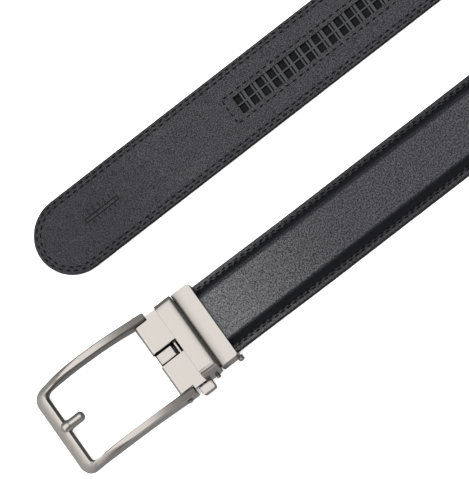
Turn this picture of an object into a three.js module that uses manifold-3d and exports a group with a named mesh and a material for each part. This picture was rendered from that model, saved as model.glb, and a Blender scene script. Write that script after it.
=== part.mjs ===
// A ratchet slide belt: a padded leather strap with a toothed rack let into its tail,
// and a satin metal buckle made of a strap clamp, a ratchet body with a keeper, and an open frame.
// The strap lies in one bend: the buckle leg face up, the tail leg back up beside it.
// Millimetres, +X along the strap away from the buckle, +Y towards the tail leg, +Z up, floor at z = 0.
// While the pieces are made, x = 0 is the clamp's strap side and y = 0 the buckle's middle.

import * as THREE from 'three';
import { mergeVertices } from 'three/addons/utils/BufferGeometryUtils.js';
import Module from 'manifold-3d';

const wasm = await Module();
wasm.setup();

// Gap between pieces that touch, and how far a cutting tool reaches past what it cuts
const fit = 0.3;
const overcut = 1;
const arcSegments = 6;

// Strap
const strapWidth = 35;
const strapLength = 1200;
const halfStrap = strapWidth / 2;
const linerThickness = 0.9;
const layerGap = 0.25;
const marginHeight = 2.5;
const crownRise = 1.3;
const crownRadius = 13.4;
const crownSlope = 3.2;
const crownDome = 0.12;
const leatherEdge = 0.3;
const strapInClamp = 8;
const strapLift = 1.6;
const strapLiftEnd = 60;

// Lay of the strap on the floor
const legSpacing = 68.8;
const tipBeyondClamp = 44;
const quarterTurn = 90;
const leadLength = 125;
const leadTurn = 12;

// Rack in the tail
const rackFromTip = 107;
const toothPitch = 6;
const toothCount = 40;
const apertureWidth = 8.7;
const ribWidth = 1.5;
const webWidth = 0.7;
const rackFlangeWidth = 11.5;
const rackFlangeReach = 1.5;
const rackTop = 0.3;
const rackFloor = 1.3;
const rackBottom = 2.05;
const wedgeTop = 0.55;
const wedgeRun = 1.8;
const wedgeFlat = 0.65;
const wedgeDrop = 0.8;

// Strap clamp
const clampLength = 9.3;
const clampHalfWidth = 19.4;
const clampTop = 7;
const clampRounding = 2.6;
const clampEdge = 0.5;
const clampLowCorner = 0.6;
const clampHighCorner = 0.6;
const clampFrontCorner = 1.3;
const clampPinX = -1.5;
const clampPinZ = 1.6;
const clampPinRadius = 1.3;
const clampShankRadius = 0.8;
const pinProud = 1;

// Swivel between the clamp and the ratchet body
const swivelX = -12.7;
const swivelZ = 1.9;
const swivelPinRadius = 0.95;
const swivelKnuckleRadius = 1.75;

// Ratchet body
const bodyLeft = -23.3;
const bodyRight = -9.9;
const bodyHalfWidth = 19.5;
const bodyWall = 1.3;
const plateTop = 5.7;
const plateThickness = 1.2;
const plateNarrow = 17.6;
const keeperLeft = -17.4;
const keeperTop = 11;
const keeperThickness = 1;
const keeperRounding = 3.1;
const keeperEdge = 0.8;
const skirtDepth = 2.4;
const lobeBottom = 0.5;
const notchCentre = 0.3;
const notchWidth = 6.7;
const notchRight = -18;

// Frame and its hinge
const hingeX = -28.5;
const hingeZ = 3.6;
const knuckleRadius = 2.04;
const framePinRadius = 1.3;
const framePinReach = 12;
const framePinProud = 0.35;
const frameLeft = -82.5;
const frameBarWidth = 6.2;
const frameEnd = 4.9;
const frameCrestX = -57;
const frameBarZ = 2.15;
const frameArch = 4.9;
const frameEndSlope = 0.26;
const armHeight = 6.7;
const barHeight = 4.2;
const depthRun = 16;
const outerAtCorner = 21;
const outerAtCrest = 22;
const outerAtHinge = 21.6;
const innerAtCorner = 17.7;
const innerAtCrest = 18.65;
const innerAtHinge = 18;
const outerCorner = 5.6;
const innerCorner = 2.4;
const frameChamfer = 0.8;

// False prong
const prongY = 0.6;
const prongZ = 5.2;
const prongLeft = -80.2;
const prongRight = -69.5;
const prongHeadRadius = 2.15;
const prongHeadLength = 4.6;
const prongRadius = 1.85;

// Pawl lever, its shaft and spring
const shaftX = -19.6;
const shaftZ = 3;
const shaftRadius = 0.7;
const hubRadius = 1.7;
const pawlHalfWidth = 2.7;
const pawlLeft = -29.4;
const pawlRight = -21.7;
const pawlBottom = 2.6;
const pawlProud = 0.3;
const armWidth = 4;
const tabLeft = -22.3;
const tabRight = -16.6;
const tabOuter = -23.8;
const tabInner = -19.8;
const tabHeight = 3;
const tabCorner = 0.6;
const shaftInTab = 1;
const coilRadius = 1.2;
const coilWire = 0.25;
const coilPitch = 0.72;
const coilTurns = 7;

// Finishes
const satinMetal = { color: 0xb5ada6, roughness: 0.34, metalness: 1 };
const steel = { color: 0xa9a29c, roughness: 0.3, metalness: 1 };
const frontLeather = { color: 0x17181a, roughness: 0.42, metalness: 0 };
const backLeather = { color: 0x2f2f32, roughness: 0.68, metalness: 0 };
const blackPlastic = { color: 0x1b1b1d, roughness: 0.4, metalness: 0 };

const belt = new THREE.Group();

function toSolid(geometry) {
  const bare = geometry.clone();
  bare.deleteAttribute('normal');
  bare.deleteAttribute('uv');
  const merged = mergeVertices(bare, 1e-5);
  const corners = [];
  for (let i = 0; i < merged.index.count; i += 3) {
    const [a, b, c] = [0, 1, 2].map((k) => merged.index.getX(i + k));
    if (a !== b && b !== c && c !== a) corners.push(a, b, c);
  }
  const vertProperties = new Float32Array(merged.attributes.position.array);
  const triVerts = new Uint32Array(corners);
  return new wasm.Manifold(new wasm.Mesh({ numProp: 3, vertProperties, triVerts }));
}

function join(solids) {
  return solids.reduce((whole, solid) => whole.add(solid));
}

function cut(solid, tools) {
  return tools.reduce((whole, tool) => whole.subtract(tool), solid);
}

function addPiece(name, solid, finish) {
  const { vertProperties, triVerts } = solid.getMesh();
  const geometry = new THREE.BufferGeometry();
  geometry.setAttribute('position', new THREE.BufferAttribute(new Float32Array(vertProperties), 3));
  geometry.setIndex(new THREE.BufferAttribute(new Uint32Array(triVerts), 1));
  geometry.computeVertexNormals();
  const mesh = new THREE.Mesh(geometry, new THREE.MeshStandardMaterial(finish));
  mesh.name = name;
  belt.add(mesh);
}

function block(low, high) {
  const [sizeX, sizeY, sizeZ] = high.map((value, i) => value - low[i]);
  const geometry = new THREE.BoxGeometry(sizeX, sizeY, sizeZ);
  geometry.translate(low[0] + sizeX / 2, low[1] + sizeY / 2, low[2] + sizeZ / 2);
  return toSolid(geometry);
}

// The lower and upper y of a piece that lies between two distances on one side of the middle
function sideSpan(side, inner, outer) {
  return side > 0 ? [inner, outer] : [-outer, -inner];
}

// A rod along Y
function rod(x, z, radius, yLow, yHigh, sides = 16) {
  const geometry = new THREE.CylinderGeometry(radius, radius, yHigh - yLow, sides);
  geometry.translate(x, (yLow + yHigh) / 2, z);
  return toSolid(geometry);
}

function prism(shape, depth) {
  return new THREE.ExtrudeGeometry(shape, { depth, bevelEnabled: false, curveSegments: arcSegments });
}

// An outline in x and z, extruded along Y
function sideSolid(shape, yLow, yHigh) {
  const geometry = prism(shape, yHigh - yLow);
  geometry.rotateX(Math.PI / 2);
  geometry.translate(0, yHigh, 0);
  return toSolid(geometry);
}

// An outline in y and z, extruded along X
function endSolid(shape, xLow, xHigh) {
  const geometry = prism(shape, xHigh - xLow);
  const turn = new THREE.Matrix4().makeBasis(
    new THREE.Vector3(0, 1, 0),
    new THREE.Vector3(0, 0, 1),
    new THREE.Vector3(1, 0, 0)
  );
  geometry.applyMatrix4(turn);
  geometry.translate(xLow, 0, 0);
  return toSolid(geometry);
}

function polygon(points) {
  return new THREE.Shape(points.map(([a, b]) => new THREE.Vector2(a, b)));
}

// A rectangle with one radius for its lower corners and one for its upper corners
function roundedRectangle(left, right, bottom, top, lowRadius, highRadius) {
  const shape = new THREE.Shape();
  const corner = (x, y, radius, towardsX, towardsY, startAngle) => {
    const centreX = x + towardsX * radius;
    const centreY = y + towardsY * radius;
    if (radius === 0) shape.lineTo(x, y);
    else shape.absarc(centreX, centreY, radius, startAngle, startAngle + Math.PI / 2);
  };
  shape.moveTo(left + lowRadius, bottom);
  corner(right, bottom, lowRadius, -1, 1, -Math.PI / 2);
  corner(right, top, highRadius, -1, -1, 0);
  corner(left, top, highRadius, 1, -1, Math.PI / 2);
  if (lowRadius > 0) corner(left, bottom, lowRadius, 1, 1, Math.PI);
  return shape;
}

// Closed rings of the same number of points, joined in order and capped at both ends.
// The edge that closes the rings is split the other way, so that both faces of a thin strip twist alike.
function loft(rings) {
  const count = rings[0].length;
  const positions = rings.flat().flatMap((point) => [point.x, point.y, point.z]);
  const index = [];
  for (let i = 0; i + 1 < rings.length; i += 1) {
    for (let j = 0; j < count; j += 1) {
      const k = (j + 1) % count;
      const near = i * count;
      const far = near + count;
      if (k === 0) index.push(near + j, near + k, far + j, near + k, far + k, far + j);
      else index.push(near + j, near + k, far + k, near + j, far + k, far + j);
    }
  }
  [0, rings.length - 1].forEach((ringIndex) => {
    const middle = positions.length / 3;
    const centre = rings[ringIndex].reduce((sum, point) => sum.add(point), new THREE.Vector3());
    centre.divideScalar(count);
    positions.push(centre.x, centre.y, centre.z);
    const start = ringIndex * count;
    for (let j = 0; j < count; j += 1) {
      const k = (j + 1) % count;
      if (ringIndex === 0) index.push(middle, start + k, start + j);
      else index.push(middle, start + j, start + k);
    }
  });
  const geometry = new THREE.BufferGeometry();
  geometry.setAttribute('position', new THREE.Float32BufferAttribute(positions, 3));
  geometry.setIndex(index);
  return toSolid(geometry);
}

function smoothStep(t) {
  const clamped = Math.min(1, Math.max(0, t));
  return clamped * clamped * (3 - 2 * clamped);
}

// Height of the front leather above the back face, by distance from the strap's middle
function crownHeight(radius) {
  const slope = smoothStep((crownRadius - radius) / crownSlope);
  const dome = crownDome * Math.max(0, 1 - (radius / crownRadius) ** 2);
  return marginHeight + crownRise * slope + dome;
}

const strapThickness = crownHeight(0);

// Straps are turned through an eased angle, so that their curvature starts and ends at nothing
function easedTurn(t) {
  return (1 - Math.cos(Math.PI * t)) / 2;
}

function sidewaysReach(startDegrees, turnDegrees) {
  const samples = 400;
  let reach = 0;
  for (let i = 0; i < samples; i += 1) {
    const heading = startDegrees + turnDegrees * easedTurn((i + 0.5) / samples);
    reach += Math.sin(THREE.MathUtils.degToRad(heading)) / samples;
  }
  return reach;
}

const leadReach = leadLength * sidewaysReach(0, -leadTurn);
const loopLength = (legSpacing - 2 * leadReach) / sidewaysReach(-leadTurn, 180 + 2 * leadTurn);
const straightLength = strapLength - 2 * leadLength - loopLength;
const legEnd = (straightLength - strapInClamp - tipBeyondClamp) / 2;

// Each stretch: its length, its turn to the left and its roll about the strap, both in degrees
const stretches = [
  { name: 'buckle leg', length: legEnd + strapInClamp, turn: 0, roll: 0, steps: 1 },
  { name: 'lead out', length: leadLength, turn: -leadTurn, roll: quarterTurn, steps: 14 },
  { name: 'loop', length: loopLength, turn: 180 + 2 * leadTurn, roll: 0, steps: 26 },
  { name: 'lead in', length: leadLength, turn: -leadTurn, roll: quarterTurn, steps: 14 },
  { name: 'tail leg', length: legEnd + tipBeyondClamp, turn: 0, roll: 0, steps: 1 },
];

// Stations along the edge that stays on the floor, from the clamp to the start of the tail's round end
function layStrap() {
  const place = new THREE.Vector2(-strapInClamp, -halfStrap);
  const stations = [{ place: place.clone(), heading: 0, roll: 0 }];
  const slices = 40;
  let heading = 0;
  let roll = 0;
  stretches.forEach((stretch) => {
    const slice = stretch.length / stretch.steps / slices;
    for (let i = 0; i < stretch.steps; i += 1) {
      for (let k = 0; k < slices; k += 1) {
        const t = (i + (k + 0.5) / slices) / stretch.steps;
        const angle = THREE.MathUtils.degToRad(heading + stretch.turn * easedTurn(t));
        place.x += Math.cos(angle) * slice;
        place.y += Math.sin(angle) * slice;
      }
      const eased = easedTurn((i + 1) / stretch.steps);
      stations.push({
        place: place.clone(),
        heading: heading + stretch.turn * eased,
        roll: roll + stretch.roll * eased,
      });
    }
    heading += stretch.turn;
    roll += stretch.roll;
  });
  return stations;
}

// One ring of the strap: outline points hold a distance from the middle, a side and a height.
// Near the tail's round end, past is how far the ring lies beyond the centre of that end.
function strapRing(outline, station) {
  const { past } = station;
  const roll = THREE.MathUtils.degToRad(station.roll);
  const heading = THREE.MathUtils.degToRad(station.heading);
  const leftX = -Math.sin(heading);
  const leftY = Math.cos(heading);
  const local = outline.map((point) => {
    const across = point.radius > past ? Math.sqrt(point.radius ** 2 - past ** 2) * point.side : 0;
    const height = point.top ? crownHeight(Math.max(point.radius, past)) : point.height;
    const a = across + halfStrap;
    return {
      left: a * Math.cos(roll) - height * Math.sin(roll),
      up: a * Math.sin(roll) + height * Math.cos(roll),
    };
  });
  return local.map(({ left, up }) => new THREE.Vector3(
    station.place.x + leftX * left,
    station.place.y + leftY * left,
    up + station.lift
  ));
}

// Height that stands a whole rolled section on the floor
function restingLift(rollDegrees) {
  const roll = THREE.MathUtils.degToRad(rollDegrees);
  let lowest = 0;
  const sampling = 0.25;
  for (let across = -halfStrap; across <= halfStrap; across += sampling) {
    [0, crownHeight(Math.abs(across))].forEach((height) => {
      lowest = Math.min(lowest, (across + halfStrap) * Math.sin(roll) + height * Math.cos(roll));
    });
  }
  return -lowest;
}

// Near the clamp's strap side the strap slopes down from the clamp's floor; at the tail its end is round
function strapStations() {
  const [start, ...laid] = layStrap();
  const tail = laid.pop();
  const slope = [];
  const slopeSteps = 7;
  for (let i = -1; i < slopeSteps; i += 1) {
    const x = i < 0 ? -strapInClamp : 0.5 + (strapLiftEnd / slopeSteps) * i;
    slope.push({ ...start, place: new THREE.Vector2(x, -halfStrap) });
  }
  const straight = [...slope, ...laid].map((station) => {
    const raised = station.roll === 0 ? strapLift * (1 - smoothStep(station.place.x / strapLiftEnd)) : 0;
    return { ...station, lift: restingLift(station.roll) + raised, past: 0 };
  });
  const endSteps = 9;
  const lastRing = halfStrap - 0.04;
  const end = [];
  for (let i = 0; i <= endSteps; i += 1) {
    const past = lastRing * Math.sin((Math.PI / 2) * (i / endSteps));
    const place = new THREE.Vector2(tail.place.x + halfStrap - past, tail.place.y);
    end.push({ ...tail, place, lift: restingLift(tail.roll), past });
  }
  return [...straight, ...end];
}

const stations = strapStations();
const tailStation = stations[stations.length - 1];
const tipX = -tipBeyondClamp;
const tailY = tailStation.place.y + halfStrap;
const tailTop = tailStation.lift;

function bothSides(points) {
  const right = points.map((point) => ({ ...point, side: 1 }));
  const left = points.map((point) => ({ ...point, side: -1 })).reverse();
  return [...right, ...left];
}

// A box in the tail leg: from and to count from the tip, depths count from the back face
function tailBlock(from, to, halfWidth, shallow, deep) {
  const low = [tipX + from, tailY - halfWidth, tailTop - deep];
  const high = [tipX + to, tailY + halfWidth, tailTop - shallow];
  return block(low, high);
}

const apertureLength = toothPitch * toothCount + ribWidth;

function makeStrapFront() {
  const under = linerThickness + layerGap;
  const outline = bothSides([
    { radius: halfStrap - leatherEdge, height: under },
    { radius: halfStrap, height: under + leatherEdge },
    { radius: halfStrap, height: marginHeight - leatherEdge },
    { radius: halfStrap - leatherEdge, top: true },
    { radius: crownRadius, top: true },
    { radius: crownRadius - crownSlope * 0.3, top: true },
    { radius: crownRadius - crownSlope * 0.6, top: true },
    { radius: crownRadius - crownSlope, top: true },
    { radius: crownRadius * 0.45, top: true },
  ]);
  const leather = loft(stations.map((station) => strapRing(outline, station)));
  const pocket = tailBlock(
    rackFromTip - rackFlangeReach - fit,
    rackFromTip + apertureLength + rackFlangeReach + fit,
    rackFlangeWidth / 2 + fit,
    linerThickness,
    rackBottom + fit
  );
  return cut(leather, [pocket]);
}

function makeStrapLiner() {
  const outline = bothSides([
    { radius: halfStrap - leatherEdge, height: 0 },
    { radius: halfStrap, height: leatherEdge },
    { radius: halfStrap, height: linerThickness - leatherEdge },
    { radius: halfStrap - leatherEdge, height: linerThickness },
  ]);
  const leather = loft(stations.map((station) => strapRing(outline, station)));
  const aperture = tailBlock(rackFromTip, rackFromTip + apertureLength, apertureWidth / 2, -overcut, overcut);
  return cut(leather, [aperture]);
}

// Cross ribs with a wedge-shaped catch before each, a thin web down the middle, and a hidden flange
function makeRack() {
  const start = tipX + rackFromTip + fit;
  const end = tipX + rackFromTip + apertureLength - fit;
  const rib = ribWidth - fit;
  const high = tailTop - rackTop;
  const low = tailTop - rackFloor;
  const catchTop = tailTop - wedgeTop;
  const root = low - 0.2;
  const points = [[start, root]];
  for (let tooth = 0; tooth < toothCount; tooth += 1) {
    const left = start + tooth * toothPitch;
    const catchEnd = left + toothPitch - wedgeDrop;
    points.push([left, high], [left + rib, high], [left + rib, low]);
    points.push([catchEnd - wedgeRun, low], [catchEnd - wedgeFlat, catchTop], [catchEnd, catchTop]);
    points.push([catchEnd, low], [left + toothPitch, low]);
  }
  points.push([end - rib, high], [end, high], [end, root]);
  const halfTeeth = apertureWidth / 2 - fit;
  const teeth = sideSolid(polygon(points.reverse()), tailY - halfTeeth, tailY + halfTeeth);
  const to = rackFromTip + apertureLength;
  const web = tailBlock(rackFromTip + fit, to - fit, webWidth / 2, rackTop + 0.1, rackFloor + 0.1);
  const flangeTop = linerThickness + fit + 0.1;
  const flange = tailBlock(
    rackFromTip - rackFlangeReach,
    to + rackFlangeReach,
    rackFlangeWidth / 2,
    flangeTop,
    rackBottom
  );
  return join([teeth, web, flange]);
}

// A cup round the strap's end, with a knuckle on its far side for the swivel pin
function makeClamp() {
  const outer = endSolid(
    roundedRectangle(-clampHalfWidth, clampHalfWidth, 0, clampTop, clampLowCorner, clampHighCorner),
    -clampLength,
    0
  );
  const profile = new THREE.Shape();
  profile.moveTo(-clampLength, 0);
  profile.lineTo(0, 0);
  profile.lineTo(0, clampTop - clampEdge);
  profile.lineTo(-clampEdge, clampTop);
  profile.absarc(-clampLength + clampRounding, clampTop - clampRounding, clampRounding, Math.PI / 2, Math.PI);
  const plan = new THREE.Shape();
  plan.moveTo(-clampLength, -clampHalfWidth);
  plan.absarc(-clampFrontCorner, -clampHalfWidth + clampFrontCorner, clampFrontCorner, -Math.PI / 2, 0);
  plan.absarc(-clampFrontCorner, clampHalfWidth - clampFrontCorner, clampFrontCorner, 0, Math.PI / 2);
  plan.lineTo(-clampLength, clampHalfWidth);
  const side = sideSolid(profile, -clampHalfWidth - overcut, clampHalfWidth + overcut);
  const rounded = outer.intersect(side).intersect(toSolid(prism(plan, clampTop)));
  const pocket = block(
    [-strapInClamp - fit, -halfStrap - fit, strapLift - fit],
    [overcut, halfStrap + fit, strapLift + strapThickness + fit]
  );
  const tongueHalf = bodyHalfWidth - bodyWall - fit;
  const tongue = block(
    [swivelX, -tongueHalf, swivelZ - swivelKnuckleRadius],
    [(-clampLength - strapInClamp - fit) / 2, tongueHalf, swivelZ + swivelKnuckleRadius * 0.6]
  );
  const knuckle = rod(swivelX, swivelZ, swivelKnuckleRadius, -tongueHalf, tongueHalf);
  const bore = rod(swivelX, swivelZ, swivelPinRadius + fit, -tongueHalf - overcut, tongueHalf + overcut);
  const pinHoles = [-1, 1].map((side) => {
    const span = sideSpan(side, halfStrap - overcut, clampHalfWidth + overcut);
    return rod(clampPinX, clampPinZ, clampShankRadius + fit, ...span, 12);
  });
  return cut(join([cut(rounded, [pocket]), tongue, knuckle]), [bore, ...pinHoles]);
}

// A rivet in one side wall of the clamp, with its round head outside
function makeClampPin(side) {
  const headStart = clampHalfWidth + fit;
  const shank = sideSpan(side, halfStrap + fit, headStart + 0.2);
  const head = sideSpan(side, headStart, clampHalfWidth + pinProud + 0.1);
  return join([
    rod(clampPinX, clampPinZ, clampShankRadius, ...shank, 12),
    rod(clampPinX, clampPinZ, clampPinRadius, ...head),
  ]);
}

function makeSwivelPin() {
  return rod(swivelX, swivelZ, swivelPinRadius, -bodyHalfWidth - pinProud, bodyHalfWidth - 0.1, 12);
}

// Plate, rolled hinge edge, two side walls and the keeper over the tail's slot
function makeRatchetBody() {
  const plate = join([
    block([hingeX, -plateNarrow, plateTop - plateThickness], [bodyLeft + overcut, plateNarrow, plateTop]),
    block([bodyLeft, -bodyHalfWidth, plateTop - plateThickness], [bodyRight, bodyHalfWidth, plateTop]),
  ]);
  const roll = rod(hingeX, hingeZ, knuckleRadius, -plateNarrow, plateNarrow, 20);
  const wallTop = plateTop - plateThickness / 2;
  const legTop = keeperTop - keeperRounding;
  const wallProfile = polygon([
    [bodyLeft, wallTop],
    [bodyLeft, plateTop - skirtDepth],
    [tabLeft + 0.3, plateTop - skirtDepth],
    [tabLeft + 0.9, lobeBottom],
    [tabRight - 0.6, lobeBottom],
    [tabRight + 0.4, 0],
    [bodyRight - 1.4, 0],
    [bodyRight, 1.2],
    [bodyRight, legTop],
    [keeperLeft, legTop],
    [keeperLeft, wallTop],
  ]);
  const walls = [
    sideSolid(wallProfile, -bodyHalfWidth, -bodyHalfWidth + bodyWall),
    sideSolid(wallProfile, bodyHalfWidth - bodyWall, bodyHalfWidth),
  ];
  const arch = endSolid(
    roundedRectangle(-bodyHalfWidth, bodyHalfWidth, wallTop, keeperTop, 0, keeperRounding),
    keeperLeft,
    bodyRight
  );
  const slotHalf = bodyHalfWidth - bodyWall;
  const slotTop = keeperTop - keeperThickness;
  const slot = endSolid(
    roundedRectangle(-slotHalf, slotHalf, plateTop, slotTop, 0, keeperRounding - keeperThickness),
    keeperLeft - overcut,
    bodyRight + overcut
  );
  const easedEdge = new THREE.Shape();
  easedEdge.moveTo(keeperLeft, 0);
  easedEdge.lineTo(bodyRight, 0);
  easedEdge.absarc(bodyRight - keeperEdge, keeperTop - keeperEdge, keeperEdge, 0, Math.PI / 2);
  easedEdge.lineTo(keeperLeft, keeperTop);
  const past = bodyHalfWidth + overcut;
  const keeper = cut(arch, [slot]).intersect(sideSolid(easedEdge, -past, past));
  const notch = block(
    [hingeX - 2 * knuckleRadius, notchCentre - notchWidth / 2, -overcut],
    [notchRight, notchCentre + notchWidth / 2, keeperTop]
  );
  const hingeBores = [-1, 1].map((side) => {
    const span = sideSpan(side, framePinReach - fit, plateNarrow + overcut);
    return rod(hingeX, hingeZ, framePinRadius + fit, ...span);
  });
  const swivelBore = rod(swivelX, swivelZ, swivelPinRadius + fit, -past, past);
  const hubBore = rod(shaftX, shaftZ, hubRadius + fit, -past, 0);
  const shaftBore = rod(shaftX, shaftZ, shaftRadius + fit, 0, past, 12);
  const whole = join([plate, roll, ...walls, keeper]);
  return cut(whole, [notch, ...hingeBores, swivelBore, hubBore, shaftBore]);
}

// Height of the frame's middle line: an arch over the straight line from the hinge to the bar.
// Past the hinge the arms' top slopes on down and their underside stays level.
function frameHeight(x) {
  if (x > hingeX) return hingeZ - (frameEndSlope / 2) * (x - hingeX);
  const t = (hingeX - x) / (hingeX - frameLeft);
  return hingeZ + (frameBarZ - hingeZ) * t + frameArch * Math.sin(Math.PI * t);
}

function frameDepth(x) {
  const grown = smoothStep((x - frameLeft - frameBarWidth / 2) / depthRun);
  return barHeight + (armHeight - barHeight) * grown - frameEndSlope * Math.max(0, x - hingeX);
}

// Half width of the frame, easing from the crest to the corner on one side and the hinge on the other
function frameHalfWidth(x, atCorner, atCrest, atHinge) {
  const towardsBar = x < frameCrestX;
  const farX = towardsBar ? frameLeft + outerCorner : hingeX;
  const atFar = towardsBar ? atCorner : atHinge;
  const t = Math.min(1, (x - frameCrestX) / (farX - frameCrestX));
  return atCrest - (atCrest - atFar) * t ** 2;
}

function frameRing(outer, inner) {
  const along = outer.clone().sub(inner);
  const chamfer = along.clone().setLength(frameChamfer);
  const corner = (base, offset, upDown, inset) => {
    const place = base.clone().addScaledVector(chamfer, offset);
    const z = frameHeight(place.x) + upDown * (frameDepth(place.x) / 2 - inset);
    return new THREE.Vector3(place.x, place.y, z);
  };
  return [
    corner(inner, 1, -1, 0),
    corner(outer, -1, -1, 0),
    corner(outer, 0, -1, frameChamfer),
    corner(outer, 0, 1, frameChamfer),
    corner(outer, -1, 1, 0),
    corner(inner, 1, 1, 0),
    corner(inner, 0, 1, frameChamfer),
    corner(inner, 0, -1, frameChamfer),
  ];
}

function makeFrame() {
  const half = [];
  const armSteps = 12;
  const cornerX = frameLeft + outerCorner;
  const armStart = hingeX + frameEnd + overcut;
  const armStop = cornerX + 1.5;
  for (let i = 0; i < armSteps; i += 1) {
    const x = armStart + (armStop - armStart) * (i / (armSteps - 1));
    const outer = new THREE.Vector2(x, frameHalfWidth(x, outerAtCorner, outerAtCrest, outerAtHinge));
    const inner = new THREE.Vector2(x, frameHalfWidth(x, innerAtCorner, innerAtCrest, innerAtHinge));
    half.push(frameRing(outer, inner));
  }
  const cornerSteps = 6;
  const innerX = frameLeft + frameBarWidth + innerCorner;
  const outerCentre = new THREE.Vector2(cornerX, outerAtCorner - outerCorner);
  const innerCentre = new THREE.Vector2(innerX, innerAtCorner - innerCorner);
  for (let i = 0; i <= cornerSteps; i += 1) {
    const angle = Math.PI / 2 + (Math.PI / 2) * (i / cornerSteps);
    const direction = new THREE.Vector2(Math.cos(angle), Math.sin(angle));
    const outer = outerCentre.clone().addScaledVector(direction, outerCorner);
    const inner = innerCentre.clone().addScaledVector(direction, innerCorner);
    half.push(frameRing(outer, inner));
  }
  const mirrored = half.map((ring) => ring.map((point) => new THREE.Vector3(point.x, -point.y, point.z)));
  const whole = loft([...half, ...mirrored.reverse()].reverse());
  const reach = outerAtCrest + overcut;
  const beyondPin = block(
    [hingeX, -reach, hingeZ - 2 * frameEnd],
    [hingeX + 2 * frameEnd, reach, hingeZ + 2 * frameEnd]
  );
  const roundEnd = rod(hingeX, hingeZ, frameEnd, -reach - overcut, reach + overcut, 32);
  const pinHole = rod(hingeX, hingeZ, framePinRadius + fit, -reach, reach);
  return cut(whole, [beyondPin.subtract(roundEnd), pinHole, prongSolid(fit)]);
}

// The prong's profile turned about its own axis; grow makes the seat that it lies in
function prongSolid(grow) {
  const head = prongHeadRadius + grow;
  const stem = prongRadius + grow;
  const outline = new THREE.Path();
  outline.absarc(0, prongHeadRadius, head, -Math.PI / 2, 0);
  outline.lineTo(head, prongHeadLength - 1);
  outline.lineTo(stem, prongHeadLength);
  outline.absarc(0, prongRight - prongLeft - prongRadius, stem, 0, Math.PI / 2);
  const points = outline.getPoints(5);
  points[0].x = 0;
  points[points.length - 1].x = 0;
  const geometry = new THREE.LatheGeometry(points, 16);
  geometry.rotateZ(-Math.PI / 2);
  geometry.translate(prongLeft, prongY, prongZ);
  return toSolid(geometry);
}

function makeFramePin(side) {
  return rod(hingeX, hingeZ, framePinRadius, ...sideSpan(side, framePinReach, outerAtHinge + framePinProud));
}

// The pawl in the plate's notch, its arm and hub under the plate, and the release tab outside
function makePawlLever() {
  const pawlLow = notchCentre - pawlHalfWidth;
  const finger = sideSolid(
    polygon([
      [pawlLeft, hingeZ],
      [pawlLeft + 2, pawlBottom],
      [pawlRight, pawlBottom],
      [pawlRight, plateTop - 0.8],
      [pawlLeft + 0.5, plateTop + pawlProud],
      [pawlLeft, plateTop - 0.1],
    ]),
    pawlLow,
    notchCentre + pawlHalfWidth
  );
  const armBottom = shaftZ - 1.1;
  const armTop = plateTop - plateThickness - fit - 0.1;
  const armOuter = pawlLow - armWidth;
  const hubEnd = pawlLow - 2 * fit;
  const arm = join([
    block([pawlRight - armWidth, armOuter, armBottom], [pawlRight, pawlLow + 0.5, armTop]),
    block([pawlRight - overcut, armOuter, armBottom], [shaftX, hubEnd, armTop]),
  ]);
  const hub = rod(shaftX, shaftZ, hubRadius, tabInner - 0.5, hubEnd);
  const halfTab = tabHeight / 2;
  const tab = sideSolid(
    roundedRectangle(tabLeft, tabRight, shaftZ - halfTab, shaftZ + halfTab, tabCorner, tabCorner),
    tabOuter,
    tabInner
  );
  const bore = rod(shaftX, shaftZ, shaftRadius + fit, tabInner - shaftInTab - fit, pawlLow + overcut, 12);
  return cut(join([finger, arm, hub, tab]), [bore]);
}

function makePawlShaft() {
  return rod(shaftX, shaftZ, shaftRadius, tabInner - shaftInTab, bodyHalfWidth - 0.1, 12);
}

class CoilCurve extends THREE.Curve {
  constructor(turns, radius, pitch) {
    super();
    this.turns = turns;
    this.radius = radius;
    this.pitch = pitch;
  }

  getPoint(t, target = new THREE.Vector3()) {
    const angle = 2 * Math.PI * this.turns * t;
    const along = (t - 0.5) * this.turns * this.pitch;
    return target.set(Math.cos(angle) * this.radius, along, Math.sin(angle) * this.radius);
  }
}

function makeReturnSpring() {
  const section = new THREE.Shape();
  section.absarc(0, 0, coilWire, 0, Math.PI * 2);
  const curve = new CoilCurve(coilTurns, coilRadius, coilPitch);
  const stepsPerTurn = 10;
  const options = { steps: coilTurns * stepsPerTurn, extrudePath: curve, curveSegments: 3 };
  const geometry = new THREE.ExtrudeGeometry(section, options);
  geometry.translate(shaftX, notchCentre, shaftZ);
  return toSolid(geometry);
}

addPiece('strap_front', makeStrapFront(), frontLeather);
addPiece('strap_liner', makeStrapLiner(), backLeather);
addPiece('ratchet_rack', makeRack(), blackPlastic);
addPiece('strap_clamp', makeClamp(), satinMetal);
addPiece('clamp_pin_near', makeClampPin(-1), steel);
addPiece('clamp_pin_far', makeClampPin(1), steel);
addPiece('swivel_pin', makeSwivelPin(), steel);
addPiece('ratchet_body', makeRatchetBody(), satinMetal);
addPiece('buckle_frame', makeFrame(), satinMetal);
addPiece('false_prong', prongSolid(0), satinMetal);
addPiece('frame_pin_near', makeFramePin(-1), steel);
addPiece('frame_pin_far', makeFramePin(1), steel);
addPiece('pawl_lever', makePawlLever(), satinMetal);
addPiece('pawl_shaft', makePawlShaft(), steel);
addPiece('return_spring', makeReturnSpring(), steel);

// The whole belt stands on the floor, centred over the origin
const bounds = new THREE.Box3().setFromObject(belt);
const middle = bounds.getCenter(new THREE.Vector3());
belt.position.set(-middle.x, -middle.y, -bounds.min.z);
belt.updateMatrixWorld(true);

export default belt;
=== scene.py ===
import math

import bmesh
import bpy
from mathutils import Matrix, Vector


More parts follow.
